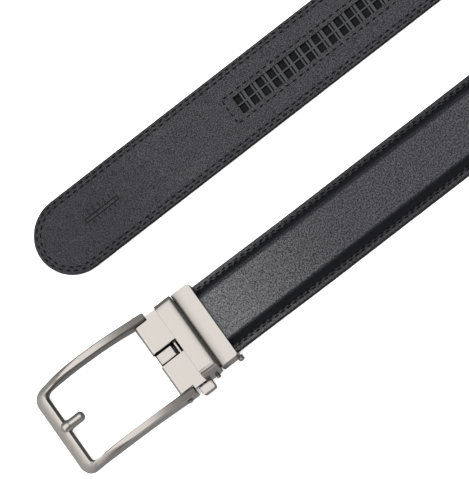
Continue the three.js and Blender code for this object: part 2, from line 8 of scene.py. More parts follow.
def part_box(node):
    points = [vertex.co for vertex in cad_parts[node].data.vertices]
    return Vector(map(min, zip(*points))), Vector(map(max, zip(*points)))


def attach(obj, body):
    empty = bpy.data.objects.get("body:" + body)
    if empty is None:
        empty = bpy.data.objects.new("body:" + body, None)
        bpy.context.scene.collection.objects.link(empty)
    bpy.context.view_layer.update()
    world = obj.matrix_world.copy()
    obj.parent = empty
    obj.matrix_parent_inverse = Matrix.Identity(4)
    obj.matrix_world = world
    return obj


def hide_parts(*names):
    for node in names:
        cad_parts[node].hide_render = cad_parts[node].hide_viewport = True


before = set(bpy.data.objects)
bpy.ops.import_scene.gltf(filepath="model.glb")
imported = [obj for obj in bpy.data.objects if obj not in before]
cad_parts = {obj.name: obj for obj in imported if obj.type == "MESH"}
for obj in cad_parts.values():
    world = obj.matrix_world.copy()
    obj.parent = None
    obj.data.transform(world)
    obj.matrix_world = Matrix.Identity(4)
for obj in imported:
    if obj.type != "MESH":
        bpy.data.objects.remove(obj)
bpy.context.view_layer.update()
print("frame loaded")

# Pieces are made in millimetres, with x = 0 at the clamp's strap side and y = 0 in the buckle's middle
mm = 0.001
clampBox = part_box("strap_clamp")
origin = Vector((clampBox[1].x, (clampBox[0].y + clampBox[1].y) / 2, 0))
toRow = Matrix.Translation(origin) @ Matrix.Diagonal((mm, mm, mm, 1))


def linked(name, data):
    made = bpy.data.objects.new(name, data)
    bpy.context.scene.collection.objects.link(made)
    return made


def sideOf(back):
    # the direction nearest to +X that is square to another one
    return (Vector((1, 0, 0)) - back * back.x).normalized()


def placed(place, *axes):
    return Matrix.Translation(place) @ Matrix(axes).transposed().to_4x4()


# Camera, at the photograph's angle with a long lens
camera = {
    "leanToNear": 17.4,    # degrees off the vertical, towards -Y
    "leanToStrap": 7,      # degrees off the vertical, towards +X
    "strapAngle": 37.7,    # how steeply the strap climbs in the picture
    "millimetresPerPixel": 0.4243,
    "target": (26.4, 23.9, 0),
    "lens": 800,
    "sensor": 36,
    "clip": (0.05, 30),
    "pixels": (469, 479),
}


def addCamera():
    lean = [math.tan(math.radians(camera[name])) for name in ("leanToStrap", "leanToNear")]
    towards = Vector((lean[0], -lean[1], 1)).normalized()
    alongStrap = sideOf(towards)
    acrossStrap = towards.cross(alongStrap)
    angle = math.radians(camera["strapAngle"])
    right = alongStrap * math.cos(angle) - acrossStrap * math.sin(angle)
    up = alongStrap * math.sin(angle) + acrossStrap * math.cos(angle)
    seen = camera["millimetresPerPixel"] * max(camera["pixels"]) * mm
    distance = seen * camera["lens"] / camera["sensor"]
    data = bpy.data.cameras.new("camera")
    data.lens = camera["lens"]
    data.sensor_width = camera["sensor"]
    data.sensor_fit = "AUTO"
    data.clip_start, data.clip_end = camera["clip"]
    seat = linked("camera", data)
    seat.matrix_world = placed(toRow @ Vector(camera["target"]) + towards * distance, right, up, towards)
    bpy.context.scene.camera = seat


addCamera()


# Mesh helpers

def weld(bm, distance=0.0005):
    bmesh.ops.remove_doubles(bm, verts=bm.verts[:], dist=distance)


def faceOutwards(bm):
    bmesh.ops.recalc_face_normals(bm, faces=bm.faces[:])


def fresh(made, kind=bmesh.types.BMVert):
    # what an operator has made, of one kind
    return [item for item in made["geom"] if isinstance(item, kind)]


def runsAlong(edge, axis):
    way = (edge.verts[1].co - edge.verts[0].co).normalized()
    return abs(way[axis]) > 0.99


def edgesAlong(bm, axis, test=None):
    # the edges along an axis whose middle passes the test
    chosen = []
    for edge in bm.edges:
        middle = (edge.verts[0].co + edge.verts[1].co) / 2
        if runsAlong(edge, axis) and (test is None or test(middle)):
            chosen.append(edge)
    return chosen


def sharpEdges(bm, degrees=30):
    bm.normal_update()
    limit = math.radians(degrees)
    return [edge for edge in bm.edges if edge.is_manifold and edge.calc_face_angle() > limit]


def bevelEdges(bm, edges, width, segments=3):
    bmesh.ops.bevel(bm, geom=edges, offset=width, offset_type="OFFSET", affect="EDGES",
                    segments=segments, profile=0.5, material=-1, clamp_overlap=True)


def boxMesh(low, high, edge=0):
    # a box between two corners, with its edges eased where a width is given
    bm = bmesh.new()
    bmesh.ops.create_cube(bm, size=1)
    bmesh.ops.scale(bm, vec=[b - a for a, b in zip(low, high)], verts=bm.verts[:])
    bmesh.ops.translate(bm, vec=[(a + b) / 2 for a, b in zip(low, high)], verts=bm.verts[:])
    if edge:
        bevelEdges(bm, sharpEdges(bm), edge, 2)
    return bm


def rodMesh(axle, radius, low, high, segments):
    # a cylinder along Y, about an axle's x and z
    bm = bmesh.new()
    turn = Matrix.Translation((axle["x"], (low + high) / 2, axle["z"])) @ Matrix.Rotation(math.pi / 2, 4, "X")
    bmesh.ops.create_cone(bm, cap_ends=True, segments=segments, radius1=radius, radius2=radius,
                          depth=high - low, matrix=turn)
    return bm


def profileMesh(points, axis, low, high):
    # an outline extruded along X or Y
    bm = bmesh.new()
    place = {"X": lambda a, b, c: (c, a, b), "Y": lambda a, b, c: (a, c, b)}[axis]
    face = bm.faces.new([bm.verts.new(place(a, b, low)) for a, b in points])
    made = bmesh.ops.extrude_face_region(bm, geom=[face])
    bmesh.ops.translate(bm, vec=place(0, 0, high - low), verts=fresh(made))
    faceOutwards(bm)
    return bm


def arcPoints(centreA, centreB, radius, start, end, steps):
    turns = [math.radians(start + (end - start) * i / steps) for i in range(steps + 1)]
    return [(centreA + radius * math.cos(turn), centreB + radius * math.sin(turn)) for turn in turns]


def easedCorner(a, b, wide, high, steps):
    # a quarter ellipse from the top to the side of an upper corner; a negative width is a corner on the right
    turns = [math.pi / 2 * i / steps for i in range(steps + 1)]
    return [(a + wide - wide * math.sin(turn), b - high + high * math.cos(turn)) for turn in turns]


def meshOf(bm, name):
    mesh = bpy.data.meshes.new(name)
    bm.to_mesh(mesh)
    bm.free()
    return mesh


def combined(bm, tool, operation="DIFFERENCE"):
    # a Boolean between two meshes, applied
    body, cutter = linked("body", meshOf(bm, "body")), linked("cutter", meshOf(tool, "cutter"))
    modifier = body.modifiers.new("combine", "BOOLEAN")
    modifier.object = cutter
    modifier.operation = operation
    modifier.solver = "EXACT"
    result = bmesh.new()
    result.from_object(body, bpy.context.evaluated_depsgraph_get())
    for spare in (body, cutter):
        mesh = spare.data
        bpy.data.objects.remove(spare)
        bpy.data.meshes.remove(mesh)
    weld(result)
    return result


def joined(bm, *parts):
    for part in parts:
        bm = combined(bm, part, "UNION")
    return bm


def tidied(bm, degrees=1):
    bmesh.ops.dissolve_limit(bm, angle_limit=math.radians(degrees), verts=bm.verts[:], edges=bm.edges[:])
    return bm


def finishPiece(bm, name, body, material, replaced=(), smooth=35):
    weld(bm)
    faceOutwards(bm)
    bmesh.ops.transform(bm, matrix=toRow, verts=bm.verts[:])
    mesh = meshOf(bm, name)
    mesh.polygons.foreach_set("use_smooth", [True] * len(mesh.polygons))
    mesh.set_sharp_from_angle(angle=math.radians(smooth))
    mesh.materials.append(materials[material])
    piece = linked(name, mesh)
    even = piece.modifiers.new("evenShading", "WEIGHTED_NORMAL")
    even.keep_sharp = True
    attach(piece, body)
    if replaced:
        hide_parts(*replaced)
    print("made", name, len(mesh.polygons), "faces")


# Shader maths: a socket with Python's operators

def operator(operation, swapped=False):
    def apply(self, other):
        return self.maths(operation, other, self) if swapped else self.maths(operation, self, other)

    return apply


class Signal:
    __add__ = operator("ADD")
    __radd__ = operator("ADD", True)
    __sub__ = operator("SUBTRACT")
    __rsub__ = operator("SUBTRACT", True)
    __mul__ = operator("MULTIPLY")
    __rmul__ = operator("MULTIPLY", True)
    largest = operator("MAXIMUM")

    def __init__(self, tree, socket=None):
        self.tree = tree
        self.socket = socket

    def node(self, kind, settings=None, inputs=None, output=0):
        made = self.tree.nodes.new(kind)
        for name, value in (settings or {}).items():
            setattr(made, name, value)
        for name, value in (inputs or {}).items():
            if isinstance(value, Signal):
                self.tree.links.new(value.socket, made.inputs[name])
            else:
                made.inputs[name].default_value = value
        return Signal(self.tree, made.outputs[output])

    def maths(self, operation, *values):
        return self.node("ShaderNodeMath", {"operation": operation}, dict(enumerate(values)))

    def __abs__(self):
        return self.maths("ABSOLUTE", self)

    def fade(self, low, high):
        # 0 up to low, 1 from high, smooth between
        return self.node("ShaderNodeMapRange", {"interpolation_type": "SMOOTHSTEP"},
                         {"Value": self, "From Min": low, "From Max": high})

    def noise(self, scale, detail=2, roughness=0.5):
        return self.node("ShaderNodeTexNoise", None,
                         {"Vector": self, "Scale": scale, "Detail": detail, "Roughness": roughness})

    def part(self, axis):
        # one of a vector's three values
        return self.node("ShaderNodeSeparateXYZ", None, {0: self}, axis)

    def stretched(self, size):
        return self.node("ShaderNodeVectorMath", {"operation": "MULTIPLY"}, {0: self, 1: size})

    def shiftedBy(self, other, amount):
        wave = self.node("ShaderNodeVectorMath", {"operation": "SCALE"}, {0: other, "Scale": amount})
        return self.node("ShaderNodeVectorMath", {"operation": "ADD"}, {0: self, 1: wave})

    def between(self, colourA, colourB):
        # this signal as the factor between two colours
        return self.node("ShaderNodeMix", {"data_type": "RGBA"}, {0: self, 6: colourA, 7: colourB}, 2)

    def bump(self, strength, distance):
        return self.node("ShaderNodeBump", None, {"Strength": strength, "Distance": distance, "Height": self})


def newMaterial(name, settings):
    # settings are the shader's constant sockets
    material = bpy.data.materials.new(name)
    material.use_nodes = True
    tree = material.node_tree
    shader = next(node for node in tree.nodes if node.type == "BSDF_PRINCIPLED")
    for socket, value in settings.items():
        shader.inputs[socket].default_value = value
    where = Signal(tree).node("ShaderNodeTexCoord", output=3)

    def feed(socket, signal):
        tree.links.new(signal.socket, shader.inputs[socket])

    return material, where, feed


def coated(specular, roughness):
    # constants of a surface whose brightness comes from its coat
    return {"Specular IOR Level": specular, "Coat IOR": 2.0, "Coat Roughness": roughness}


def strapCoordinates(where):
    # the strap's own map: metres along it from the clamp, and metres across it from its middle
    flat = where.node("ShaderNodeUVMap", {"uv_map": "strapMap"})
    return flat, flat.part(0), flat.part(1)


frontFinish = {
    "colour": (0.0095, 0.0095, 0.0142, 1),
    "crease": (0.004, 0.004, 0.0066, 1),
    # painted shade for the hollow between the crown and the stitched margins
    "valleyShade": (0.003, 0.0033, 0.0046, 1),
    "edgePaint": (0.004, 0.0045, 0.0055, 1),
    # the coat's strength; its rise beside the buckle is a painted sheen
    "gloss": 0.33,         # coat on the crown far from the buckle
    "glossBeside": 0.55,   # what is added beside the buckle
    "glossRun": (0.004, 0.08),
    "calmRun": (0.004, 0.06),      # where the grain is weaker
    "crownSide": (0.0107, 0.0125),     # metres from the middle, here and below
    "marginSide": (0.0141, 0.0148),
    "edgeSide": (0.01725, 0.0174),
    "marginGloss": 0.66,   # share of the crown's coat on the stitched margins
}


def stitchRows(across, rows):
    # 0 on a stitch row, 1 beside it
    clear = 1
    for row in rows:
        clear = clear * abs(across - (halfStrap - row) * mm).fade(0.0003, 0.0008)
    return clear


def makeFrontLeather():
    finish = frontFinish
    material, where, feed = newMaterial("frontLeather", coated(0.1, 0.4))
    flat, along, across = strapCoordinates(where)
    side = abs(across)
    drawn = flat.shiftedBy(flat.noise(420), 0.0008).stretched((1, 0.5, 1))
    creases = drawn.noise(2300, 2, 0.6).fade(0.36, 0.64)
    specks = flat.stretched((1, 0.7, 1)).noise(3600, 1, 0.6).fade(0.55, 0.72)
    broad = flat.noise(42, 3)
    edge = side.fade(*finish["edgeSide"])
    top = 1 - edge
    relief = creases * 0.7 + specks * 0.5
    feed("Normal", (relief * top).bump(0.45, 0.0002))
    crown = 1 - abs(across - 0.0007).fade(*finish["crownSide"])
    margin = side.fade(*finish["marginSide"])
    mottled = (creases * 0.7 + broad * 0.3).between(finish["crease"], finish["colour"])
    # painted shade: the hollow between the crown and the stitched margins takes a darker colour, and gets
    # almost no coat below
    valleyShaded = crown.largest(margin * 0.7).between(finish["valleyShade"], mottled)
    feed("Base Color", edge.between(valleyShaded, finish["edgePaint"]))
    feed("Roughness", 0.44 + (broad - 0.5) * 0.16)
    # painted sheen: the coat is stronger beside the buckle, standing in for the brighter reflection there
    level = (1 - along.fade(*finish["glossRun"])) * finish["glossBeside"] + finish["gloss"]
    calm = 1 - along.fade(*finish["calmRun"])
    grain = (creases * 1.2 + specks * 1.9) * (calm * -0.2 + 1) + calm * 0.12 + 0.02
    feed("Coat Weight", level * (crown + margin * finish["marginGloss"]) * grain * top)
    return material


backFinish = {
    "colour": (0.0225, 0.0224, 0.0272, 1),
    "shade": (0.0075, 0.0075, 0.0098, 1),
    "pressed": (0.0012, 0.0012, 0.0015, 1),
    "edgePaint": (0.003, 0.003, 0.0035, 1),
    "gloss": 0.07,
    "glossAway": 0.075,    # what is added away from the tip
    "glossRun": (0.03, 0.075),     # metres from the tip
    "wallSide": (0.0045, 0.005),       # the aperture's walls, metres from the middle
    "edgeSide": (0.01722, 0.0174),
    "markFromTip": (25.3, 42.4),   # where the pressed ruler mark lies
    "markAcross": 0.7,
    "markHeight": 1.8,
    "markLine": 0.42,
    "markSoft": 0.08,
    "tickPitch": 2.85,
    "tickGap": 0.6,
    "tickLong": 2.6,
    "tickShort": 1.5,
}


def rulerMark(along, across):
    # a long narrow outline with ticks on both sides, pressed into the leather
    near, far = [(strap["length"] - value) * mm for value in backFinish["markFromTip"]]
    half = backFinish["markHeight"] / 2 * mm
    line = backFinish["markLine"] / 2 * mm
    soft = backFinish["markSoft"] * mm
    y = across - backFinish["markAcross"] * mm
    x = along - (near + far) / 2
    halfLength = abs(far - near) / 2
    outside = (abs(x) - halfLength).largest(abs(y) - half)
    outline = 1 - abs(outside).fade(line, line + soft)
    pitch = backFinish["tickPitch"] * mm
    step = x.maths("PINGPONG", x + halfLength, pitch / 2)
    onTick = 1 - step.fade(line * 0.8, line * 0.8 + soft)
    within = 1 - abs(x).fade(halfLength, halfLength + soft)

    def ticks(away, length):
        past = away - half - backFinish["tickGap"] * mm
        return past.fade(0, soft) * (1 - past.fade(length * mm, length * mm + soft))

    both = ticks(y, backFinish["tickLong"]) + ticks(-1 * y, backFinish["tickShort"])
    return outline.largest(onTick * within * both)


def makeBackLeather():
    finish = backFinish
    material, where, feed = newMaterial("backLeather", coated(0.1, 0.5))
    flat, along, across = strapCoordinates(where)
    side = abs(across)
    pebbles = flat.shiftedBy(flat.noise(260), 0.0008).noise(2050, 2, 0.6).fade(0.4, 0.6)
    blotches = flat.noise(160, 3, 0.6).fade(0.35, 0.65)
    broad = flat.noise(30, 3)
    edge = side.fade(*finish["edgeSide"])
    wallStart = (strap["length"] - aperture["fromTip"] - apertureLength - 1) * mm
    sunk = 1 - where.part(2).fade((tailHeight - 0.4) * mm, (tailHeight - 0.1) * mm)
    # the aperture's walls take the edge paint, which also stands in for the shade down in the aperture:
    # partly edge paint, partly painted shade
    wallPaintAndShade = sunk * (1 - side.fade(*finish["wallSide"])) * along.fade(wallStart - 0.0005, wallStart)
    mark = rulerMark(along, across)
    relief = pebbles * 0.9 - mark * 2.4
    feed("Normal", (relief * (1 - edge)).bump(0.36, 0.0002))
    mottle = pebbles * 0.8 + broad * 0.12 + blotches * 0.08
    mottled = mottle.between(finish["shade"], finish["colour"])
    painted = edge.largest(wallPaintAndShade).between(mottled, finish["edgePaint"])
    feed("Base Color", (mark * 0.9).between(painted, finish["pressed"]))
    feed("Roughness", 0.6 + (broad - 0.5) * 0.12)
    fromTip = strap["length"] * mm - along
    # painted sheen: the coat grows away from the tip, standing in for a brighter reflection there
    level = fromTip.fade(*finish["glossRun"]) * finish["glossAway"] + finish["gloss"]
    clear = (stitchRows(side, backRows) * 0.5 + 0.5) * (1 - edge) * (1 - wallPaintAndShade) * (1 - mark)
    feed("Coat Weight", level * clear * (pebbles * 1.8 + blotches * 0.2))
    return material


threadFinish = {"colour": (0.003, 0.003, 0.0035, 1), "shade": (0.0015, 0.0015, 0.0018, 1)}
rackFinish = {
    "colour": (0.0125, 0.0127, 0.0145, 1),
    "cellShade": (0.0022, 0.0024, 0.0028, 1),
    "gloss": 0.27,
    "depths": (0.95, 0.62),    # from the painted shade down in the cells to the full colour, below the tail's back face
}


def makeThread(name):
    material, where, feed = newMaterial(name, {"Specular IOR Level": 0.05})
    fibre = where.noise(5200)
    feed("Normal", fibre.bump(0.4, 0.00008))
    feed("Base Color", where.noise(1500, 1).between(threadFinish["shade"], threadFinish["colour"]))
    feed("Roughness", 0.5 + (fibre - 0.5) * 0.2)
    return material


def makeRackPlastic():
    # glossy and lighter on its ribs and catches; down in the cells the colour is darkened as painted shade
    # and the coat fades out
    material, where, feed = newMaterial("rackPlastic", coated(0.08, 0.38))
    raised = where.part(2).fade(*[(tailHeight - depth) * mm for depth in rackFinish["depths"]])
    grain = where.noise(2600, 3, 0.6)
    feed("Normal", grain.bump(0.2, 0.00008))
    tone = raised * (where.noise(120) * 0.4 + 0.6)
    # painted shade: the colour darkens down in the cells
    feed("Base Color", tone.between(rackFinish["cellShade"], rackFinish["colour"]))
    feed("Roughness", 0.45 + (grain - 0.5) * 0.14)
    feed("Coat Weight", raised * (grain * 0.3 + 0.85) * rackFinish["gloss"])
    return material


metalFinish = {
    "colour": (0.36, 0.338, 0.316, 1),
    "worn": (0.325, 0.303, 0.282, 1),
    # painted shade colours for the notch, the grooves beside the clamp and the frame's inner walls
    "recessShade": (0.012, 0.0115, 0.011, 1),
    "insideShade": (0.19, 0.176, 0.162, 1),
    "roughness": 0.3,
}


def makeSatinMetal(name, darker=1.0, rougher=0.0, recessShade=None, gapShade=None, insideShade=None):
    # the notch and the grooves beside the clamp are painted dark as shade, each given as middle, half width,
    # fade, low and high
    material, where, feed = newMaterial(name, {"Metallic": 1.0})
    blasted = where.noise(3600, 3, 0.65)
    brushed = where.stretched((1, 0.06, 1)).noise(2600, 2, 0.6)
    broad = where.noise(55)
    tones = (metalFinish["worn"], metalFinish["colour"])
    dark, light = [(red * darker, green * darker, blue * darker, 1) for red, green, blue, _ in tones]
    platedAndShaded = (broad * 0.6 + blasted * 0.4).between(dark, light)
    # painted shade in the notch and in the grooves beside the clamp, darkest low down
    for axis, shaded in ((1, recessShade), (0, gapShade)):
        if shaded:
            middle, half, spread, low, high = shaded
            beside = 1 - abs(where.part(axis) - middle).fade(half, half + spread)
            deep = 1 - where.part(2).fade(low, high)
            platedAndShaded = (beside * deep).between(platedAndShaded, metalFinish["recessShade"])
    # painted shade on the walls round the frame's opening
    if insideShade:
        middle, half, left = insideShade
        soft = 0.0002
        across = 1 - abs(where.part(1) - middle).fade(half, half + soft)
        along = where.part(0).fade(left - soft, left + soft)
        platedAndShaded = (across * along).between(platedAndShaded, metalFinish["insideShade"])
    feed("Base Color", platedAndShaded)
    feed("Roughness", metalFinish["roughness"] + rougher + (blasted - 0.5) * 0.12 + (broad - 0.5) * 0.05)
    feed("Normal", (blasted * 0.5 + brushed * 0.5).bump(0.16, 0.00006))
    return material


print("helpers ready")


# Strap, made flat and then laid on the floor along its path
strap = {
    "length": 1200,
    "width": 35,
    "inClamp": 8,
    "linerThickness": 0.9,
    "marginHeight": 2.5,
    "crownRise": 1.3,
    "crownRadius": 13.4,
    "crownSlope": 3.2,
    "crownDome": 0.12,
    "lift": 1.6,           # how high the clamp's floor holds the strap
    "liftEnd": 60,
    "legSpacing": 68.8,
    "tipBeyondClamp": 45.6,
    "leadLength": 125,
    "leadTurn": 12,
    "tipSteps": 36,
}
halfStrap = strap["width"] / 2
frontRows = (2.0, 3.05)    # distance of each stitch row from the strap's edge
backRows = (1.5, 3.15)


def smoothStep(t):
    t = min(1, max(0, t))
    return t * t * (3 - 2 * t)


def easedTurn(t):
    return (1 - math.cos(math.pi * t)) / 2


def crownHeight(radius):
    slope = smoothStep((strap["crownRadius"] - radius) / strap["crownSlope"])
    dome = strap["crownDome"] * max(0, 1 - (radius / strap["crownRadius"]) ** 2)
    return strap["marginHeight"] + strap["crownRise"] * slope + dome


def sidewaysReach(start, turn):
    steps = 400
    turns = [start + turn * easedTurn((i + 0.5) / steps) for i in range(steps)]
    return sum(math.sin(math.radians(now)) for now in turns) / steps


def restingLift(roll):
    # how high a rolled section stands so that it only touches the floor
    turn = math.radians(roll)
    lowest = 0
    for i in range(141):
        across = -halfStrap + i * 0.25
        for height in (0, crownHeight(abs(across))):
            lowest = min(lowest, (across + halfStrap) * math.sin(turn) + height * math.cos(turn))
    return -lowest


def strapPath():
    # place, heading and roll every half millimetre along the edge that stays on the floor
    lead, turn = strap["leadLength"], strap["leadTurn"]
    leadReach = lead * sidewaysReach(0, -turn)
    loop = (strap["legSpacing"] - 2 * leadReach) / sidewaysReach(-turn, 180 + 2 * turn)
    legs = strap["length"] - 2 * lead - loop
    leg = (legs - strap["inClamp"] - strap["tipBeyondClamp"]) / 2
    stretches = [(leg + strap["inClamp"], 0, 0), (lead, -turn, 90), (loop, 180 + 2 * turn, 0),
                 (lead, -turn, 90), (leg + strap["tipBeyondClamp"], 0, 0)]
    stations = []
    x, y, heading, roll, start = -strap["inClamp"], -halfStrap, 0, 0, 0
    for length, turned, rolled in stretches:
        steps = max(2, round(length * 2))
        slice_ = length / steps
        for i in range(steps):
            eased = easedTurn(i / steps)
            now = roll + rolled * eased
            stations.append((start + i * slice_, x, y, heading + turned * eased, now, restingLift(now)))
            way = math.radians(heading + turned * easedTurn((i + 0.5) / steps))
            x += math.cos(way) * slice_
            y += math.sin(way) * slice_
        heading += turned
        roll += rolled
        start += length
    stations.append((start, x, y, heading, roll, restingLift(roll)))
    return stations, (leg + strap["inClamp"], leg + strap["inClamp"] + 2 * lead + loop)


path, bendSpan = strapPath()
tailHeight = path[-1][5]       # height of the tail's back face
tailY = path[-1][2] + halfStrap
pathStep = strap["length"] / (len(path) - 1)


def layPoint(along, across, height):
    guess = min(len(path) - 2, max(0, int(along / pathStep)))
    while guess > 0 and path[guess][0] > along:
        guess -= 1
    while guess < len(path) - 2 and path[guess + 1][0] <= along:
        guess += 1
    before, after = path[guess], path[guess + 1]
    t = (along - before[0]) / (after[0] - before[0])
    x, y, heading, roll, lift = [a + (b - a) * t for a, b in zip(before[1:], after[1:])]
    if roll == 0 and heading == 0:
        lift += strap["lift"] * (1 - smoothStep(x / strap["liftEnd"]))
    turn, way = math.radians(roll), math.radians(heading)
    left = (across + halfStrap) * math.cos(turn) - height * math.sin(turn)
    up = (across + halfStrap) * math.sin(turn) + height * math.cos(turn)
    return Vector((x - math.sin(way) * left, y + math.cos(way) * left, up + lift))


def layOnFloor(bm):
    for vertex in bm.verts:
        vertex.co = layPoint(*vertex.co)


def mapStrap(bm, outerHeight):
    # metres along and across; past the edge the map goes on down the side
    layer = bm.loops.layers.uv.new("strapMap")
    for face in bm.faces:
        for loop in face.loops:
            along, across, height = loop.vert.co
            side = abs(height - outerHeight) if abs(across) > halfStrap - 0.12 else 0
            loop[layer].uv = (along * mm, (across + math.copysign(side, across)) * mm)


def alongStations():
    # close together where the strap bends, far apart on its straight legs
    tipCentre = strap["length"] - halfStrap
    places = [0]
    while places[-1] < tipCentre - 0.01:
        here = places[-1]
        bending = bendSpan[0] - 4 < here < bendSpan[1] + 4
        sloping = here < strap["liftEnd"] + strap["inClamp"] + 4
        step = 2.5 if bending else 4 if sloping else 12
        places.append(min(tipCentre, here + step))
    return places


def sweepStrap(section):
    # the half section is spun for the round tip, and the whole section is drawn back to the clamp
    bm = bmesh.new()
    tipCentre = strap["length"] - halfStrap
    half = [bm.verts.new((tipCentre, radius, height)) for radius, height in section]
    edges = [bm.edges.new(pair) for pair in zip(half, half[1:])]
    bmesh.ops.spin(bm, geom=half + edges, cent=(tipCentre, 0, 0), axis=(0, 0, -1), angle=math.pi,
                   steps=strap["tipSteps"], use_duplicate=False)
    weld(bm)
    front = [edge for edge in bm.edges
             if all(abs(vertex.co.x - tipCentre) < 0.0005 for vertex in edge.verts) and edge.is_boundary]
    stations = alongStations()
    for before, after in zip(stations[-2::-1], stations[:0:-1]):
        made = bmesh.ops.extrude_edge_only(bm, edges=front)
        front = fresh(made, bmesh.types.BMEdge)
        bmesh.ops.translate(bm, vec=(before - after, 0, 0), verts=fresh(made))
    bmesh.ops.contextual_create(bm, geom=front)
    faceOutwards(bm)
    return bm


def groovePoints(rows, wide, narrow, brim, bed):
    # the shallow grooves that the stitch rows lie in, from the strap's edge inwards
    points = []
    for row in rows:
        centre = halfStrap - row
        points += [(centre + wide, brim), (centre + narrow, bed)]
        points += [(centre - narrow, bed), (centre - wide, brim)]
    return points


def frontSection():
    under = strap["linerThickness"] + 0.03
    margin = strap["marginHeight"]
    radius = strap["crownRadius"]
    points = [(0, under), (8, under), (halfStrap - 0.3, under), (halfStrap - 0.06, under + 0.06)]
    points += [(halfStrap, under + 0.25), (halfStrap, margin - 0.4), (halfStrap - 0.07, margin - 0.18)]
    points += [(halfStrap - 0.22, margin - 0.04), (halfStrap - 0.45, margin)]
    points += groovePoints(frontRows, 0.45, 0.18, margin + 0.02, margin - 0.16)
    points += [(radius + 0.5, margin - 0.06), (radius + 0.2, margin - 0.2), (radius - 0.05, margin - 0.16)]
    crown = [radius - 0.3 - 0.42 * i for i in range(8)] + [9, 7, 4.5, 2, 0]
    return points + [(r, crownHeight(r)) for r in crown]


def backSection():
    thick = strap["linerThickness"]
    points = [(0, thick), (8, thick), (halfStrap - 0.25, thick), (halfStrap - 0.03, thick - 0.08)]
    points += [(halfStrap, thick - 0.25), (halfStrap, 0.3), (halfStrap - 0.07, 0.13)]
    points += [(halfStrap - 0.22, 0.03), (halfStrap - 0.45, 0)]
    points += groovePoints(backRows, 0.5, 0.2, 0, 0.12)
    return points + [(10, 0), (6, 0), (0, 0)]


frontStitches = {
    "rows": frontRows,
    "rowOffsets": (1.1, 1.9),
    "pitch": 3.3,
    "length": 2.0,
    "width": 0.8,
    "height": strap["marginHeight"] - 0.04,
    "thickness": 0.42,
    "thread": "frontThread",
    "slot": "front_leather",
}
backStitches = {
    "rows": backRows,
    "rowOffsets": (0.4, 1.7),
    "pitch": 3.6,
    "length": 2.1,
    "width": 0.75,
    "height": 0.04,
    "thickness": 0.34,
    "thread": "backThread",
    "slot": "liner_leather",
    "boxPitch": 3.6,        # the rectangle sewn round the aperture
    "boxFromTip": 102.6,
    "boxHalfWidth": 6.45,
    "boxHeight": -0.03,
}
aperture = {
    "fromTip": 107,
    "pitch": 6,
    "teeth": 40,
    "rib": 1.5,
    "halfWidth": 4.35,
    "corner": 0.5,
}
apertureLength = aperture["pitch"] * aperture["teeth"] + aperture["rib"]
rack = {
    "top": 0.3,            # depths below the tail's back face
    "floor": 1.3,
    "bottom": 2.05,
    "catchTop": 0.55,
    "catchRun": 1.6,
    "catchFlat": 0.7,
    "catchDrop": 0.6,
    "webWidth": 0.75,
    "flangeHalf": 5.7,
    "flangeReach": 1.4,
    "edge": 0.1,
    "play": 0.12,
}


def rowPlaces(sizes):
    # places and directions along the stitch rows, which run round the tip and back
    begin = strap["inClamp"] + 1.5
    tipCentre = strap["length"] - halfStrap
    straight = tipCentre - begin
    places = []
    for inset, run in zip(sizes["rows"], sizes["rowOffsets"]):
        radius = halfStrap - inset
        arc = math.pi * radius
        while run < 2 * straight + arc:
            if run < straight:
                x, y, turn = begin + run, -radius, 0
            elif run < straight + arc:
                turn = (run - straight) / radius
                x, y = tipCentre + radius * math.sin(turn), -radius * math.cos(turn)
            else:
                x, y, turn = tipCentre - (run - straight - arc), radius, math.pi
            places.append((x, y, turn, sizes["height"]))
            run += sizes["pitch"]
    return places


def boxPlaces():
    high = strap["length"] - backStitches["boxFromTip"]
    low = high - apertureLength - 2 * (aperture["fromTip"] - backStitches["boxFromTip"])
    side = backStitches["boxHalfWidth"]
    corners = [(low, -side), (high, -side), (high, side), (low, side), (low, -side)]
    places = []
    for (x0, y0), (x1, y1) in zip(corners, corners[1:]):
        turn = math.atan2(y1 - y0, x1 - x0)
        count = round(math.hypot(x1 - x0, y1 - y0) / backStitches["boxPitch"])
        for i in range(count):
            t = (i + 0.5) / count
            places.append((x0 + (x1 - x0) * t, y0 + (y1 - y0) * t, turn, backStitches["boxHeight"]))
    return places


def makeStitches(name, places, sizes):
    # one short round thread, copied to every place in groups
    whole = bmesh.new()
    size = (sizes["length"] / 2, sizes["width"] / 2, sizes["thickness"] / 2, 1)
    shape = Matrix.Diagonal(size) @ Matrix.Rotation(math.pi / 2, 4, "Y")
    groupSize = 60
    for start in range(0, len(places), groupSize):
        group = bmesh.new()
        for x, y, turn, height in places[start:start + groupSize]:
            at = Matrix.Translation((x, y, height)) @ Matrix.Rotation(turn, 4, "Z")
            bmesh.ops.create_uvsphere(group, u_segments=6, v_segments=5, radius=1, matrix=at @ shape)
        mesh = meshOf(group, "group")
        whole.from_mesh(mesh)
        bpy.data.meshes.remove(mesh)
    layOnFloor(whole)
    finishPiece(whole, name, "root", sizes["thread"], smooth=80)


# painted shade: where each groove and the notch are darkened
clampGapShade = (origin.x - 0.0093, 0, 0.005, 0, 0.012)
keeperGapShade = (origin.x - 0.0095, 0.0006, 0.0003, 0.0046, 0.0058)
notchRecessShade = (origin.y + 0.0003, 0.0036, 0.0003, 0.0042, 0.0053)
materials = {
    "frontLeather": makeFrontLeather(),
    "backLeather": makeBackLeather(),
    "frontThread": makeThread("frontThread"),
    "backThread": makeThread("backThread"),
    "rackPlastic": makeRackPlastic(),
    "satinMetal": makeSatinMetal("satinMetal"),
    "clampMetal": makeSatinMetal("clampMetal", gapShade=clampGapShade),
    "notchedMetal": makeSatinMetal("notchedMetal", recessShade=notchRecessShade, gapShade=keeperGapShade),
    "pinSteel": makeSatinMetal("pinSteel", 0.9, 0.02),
}

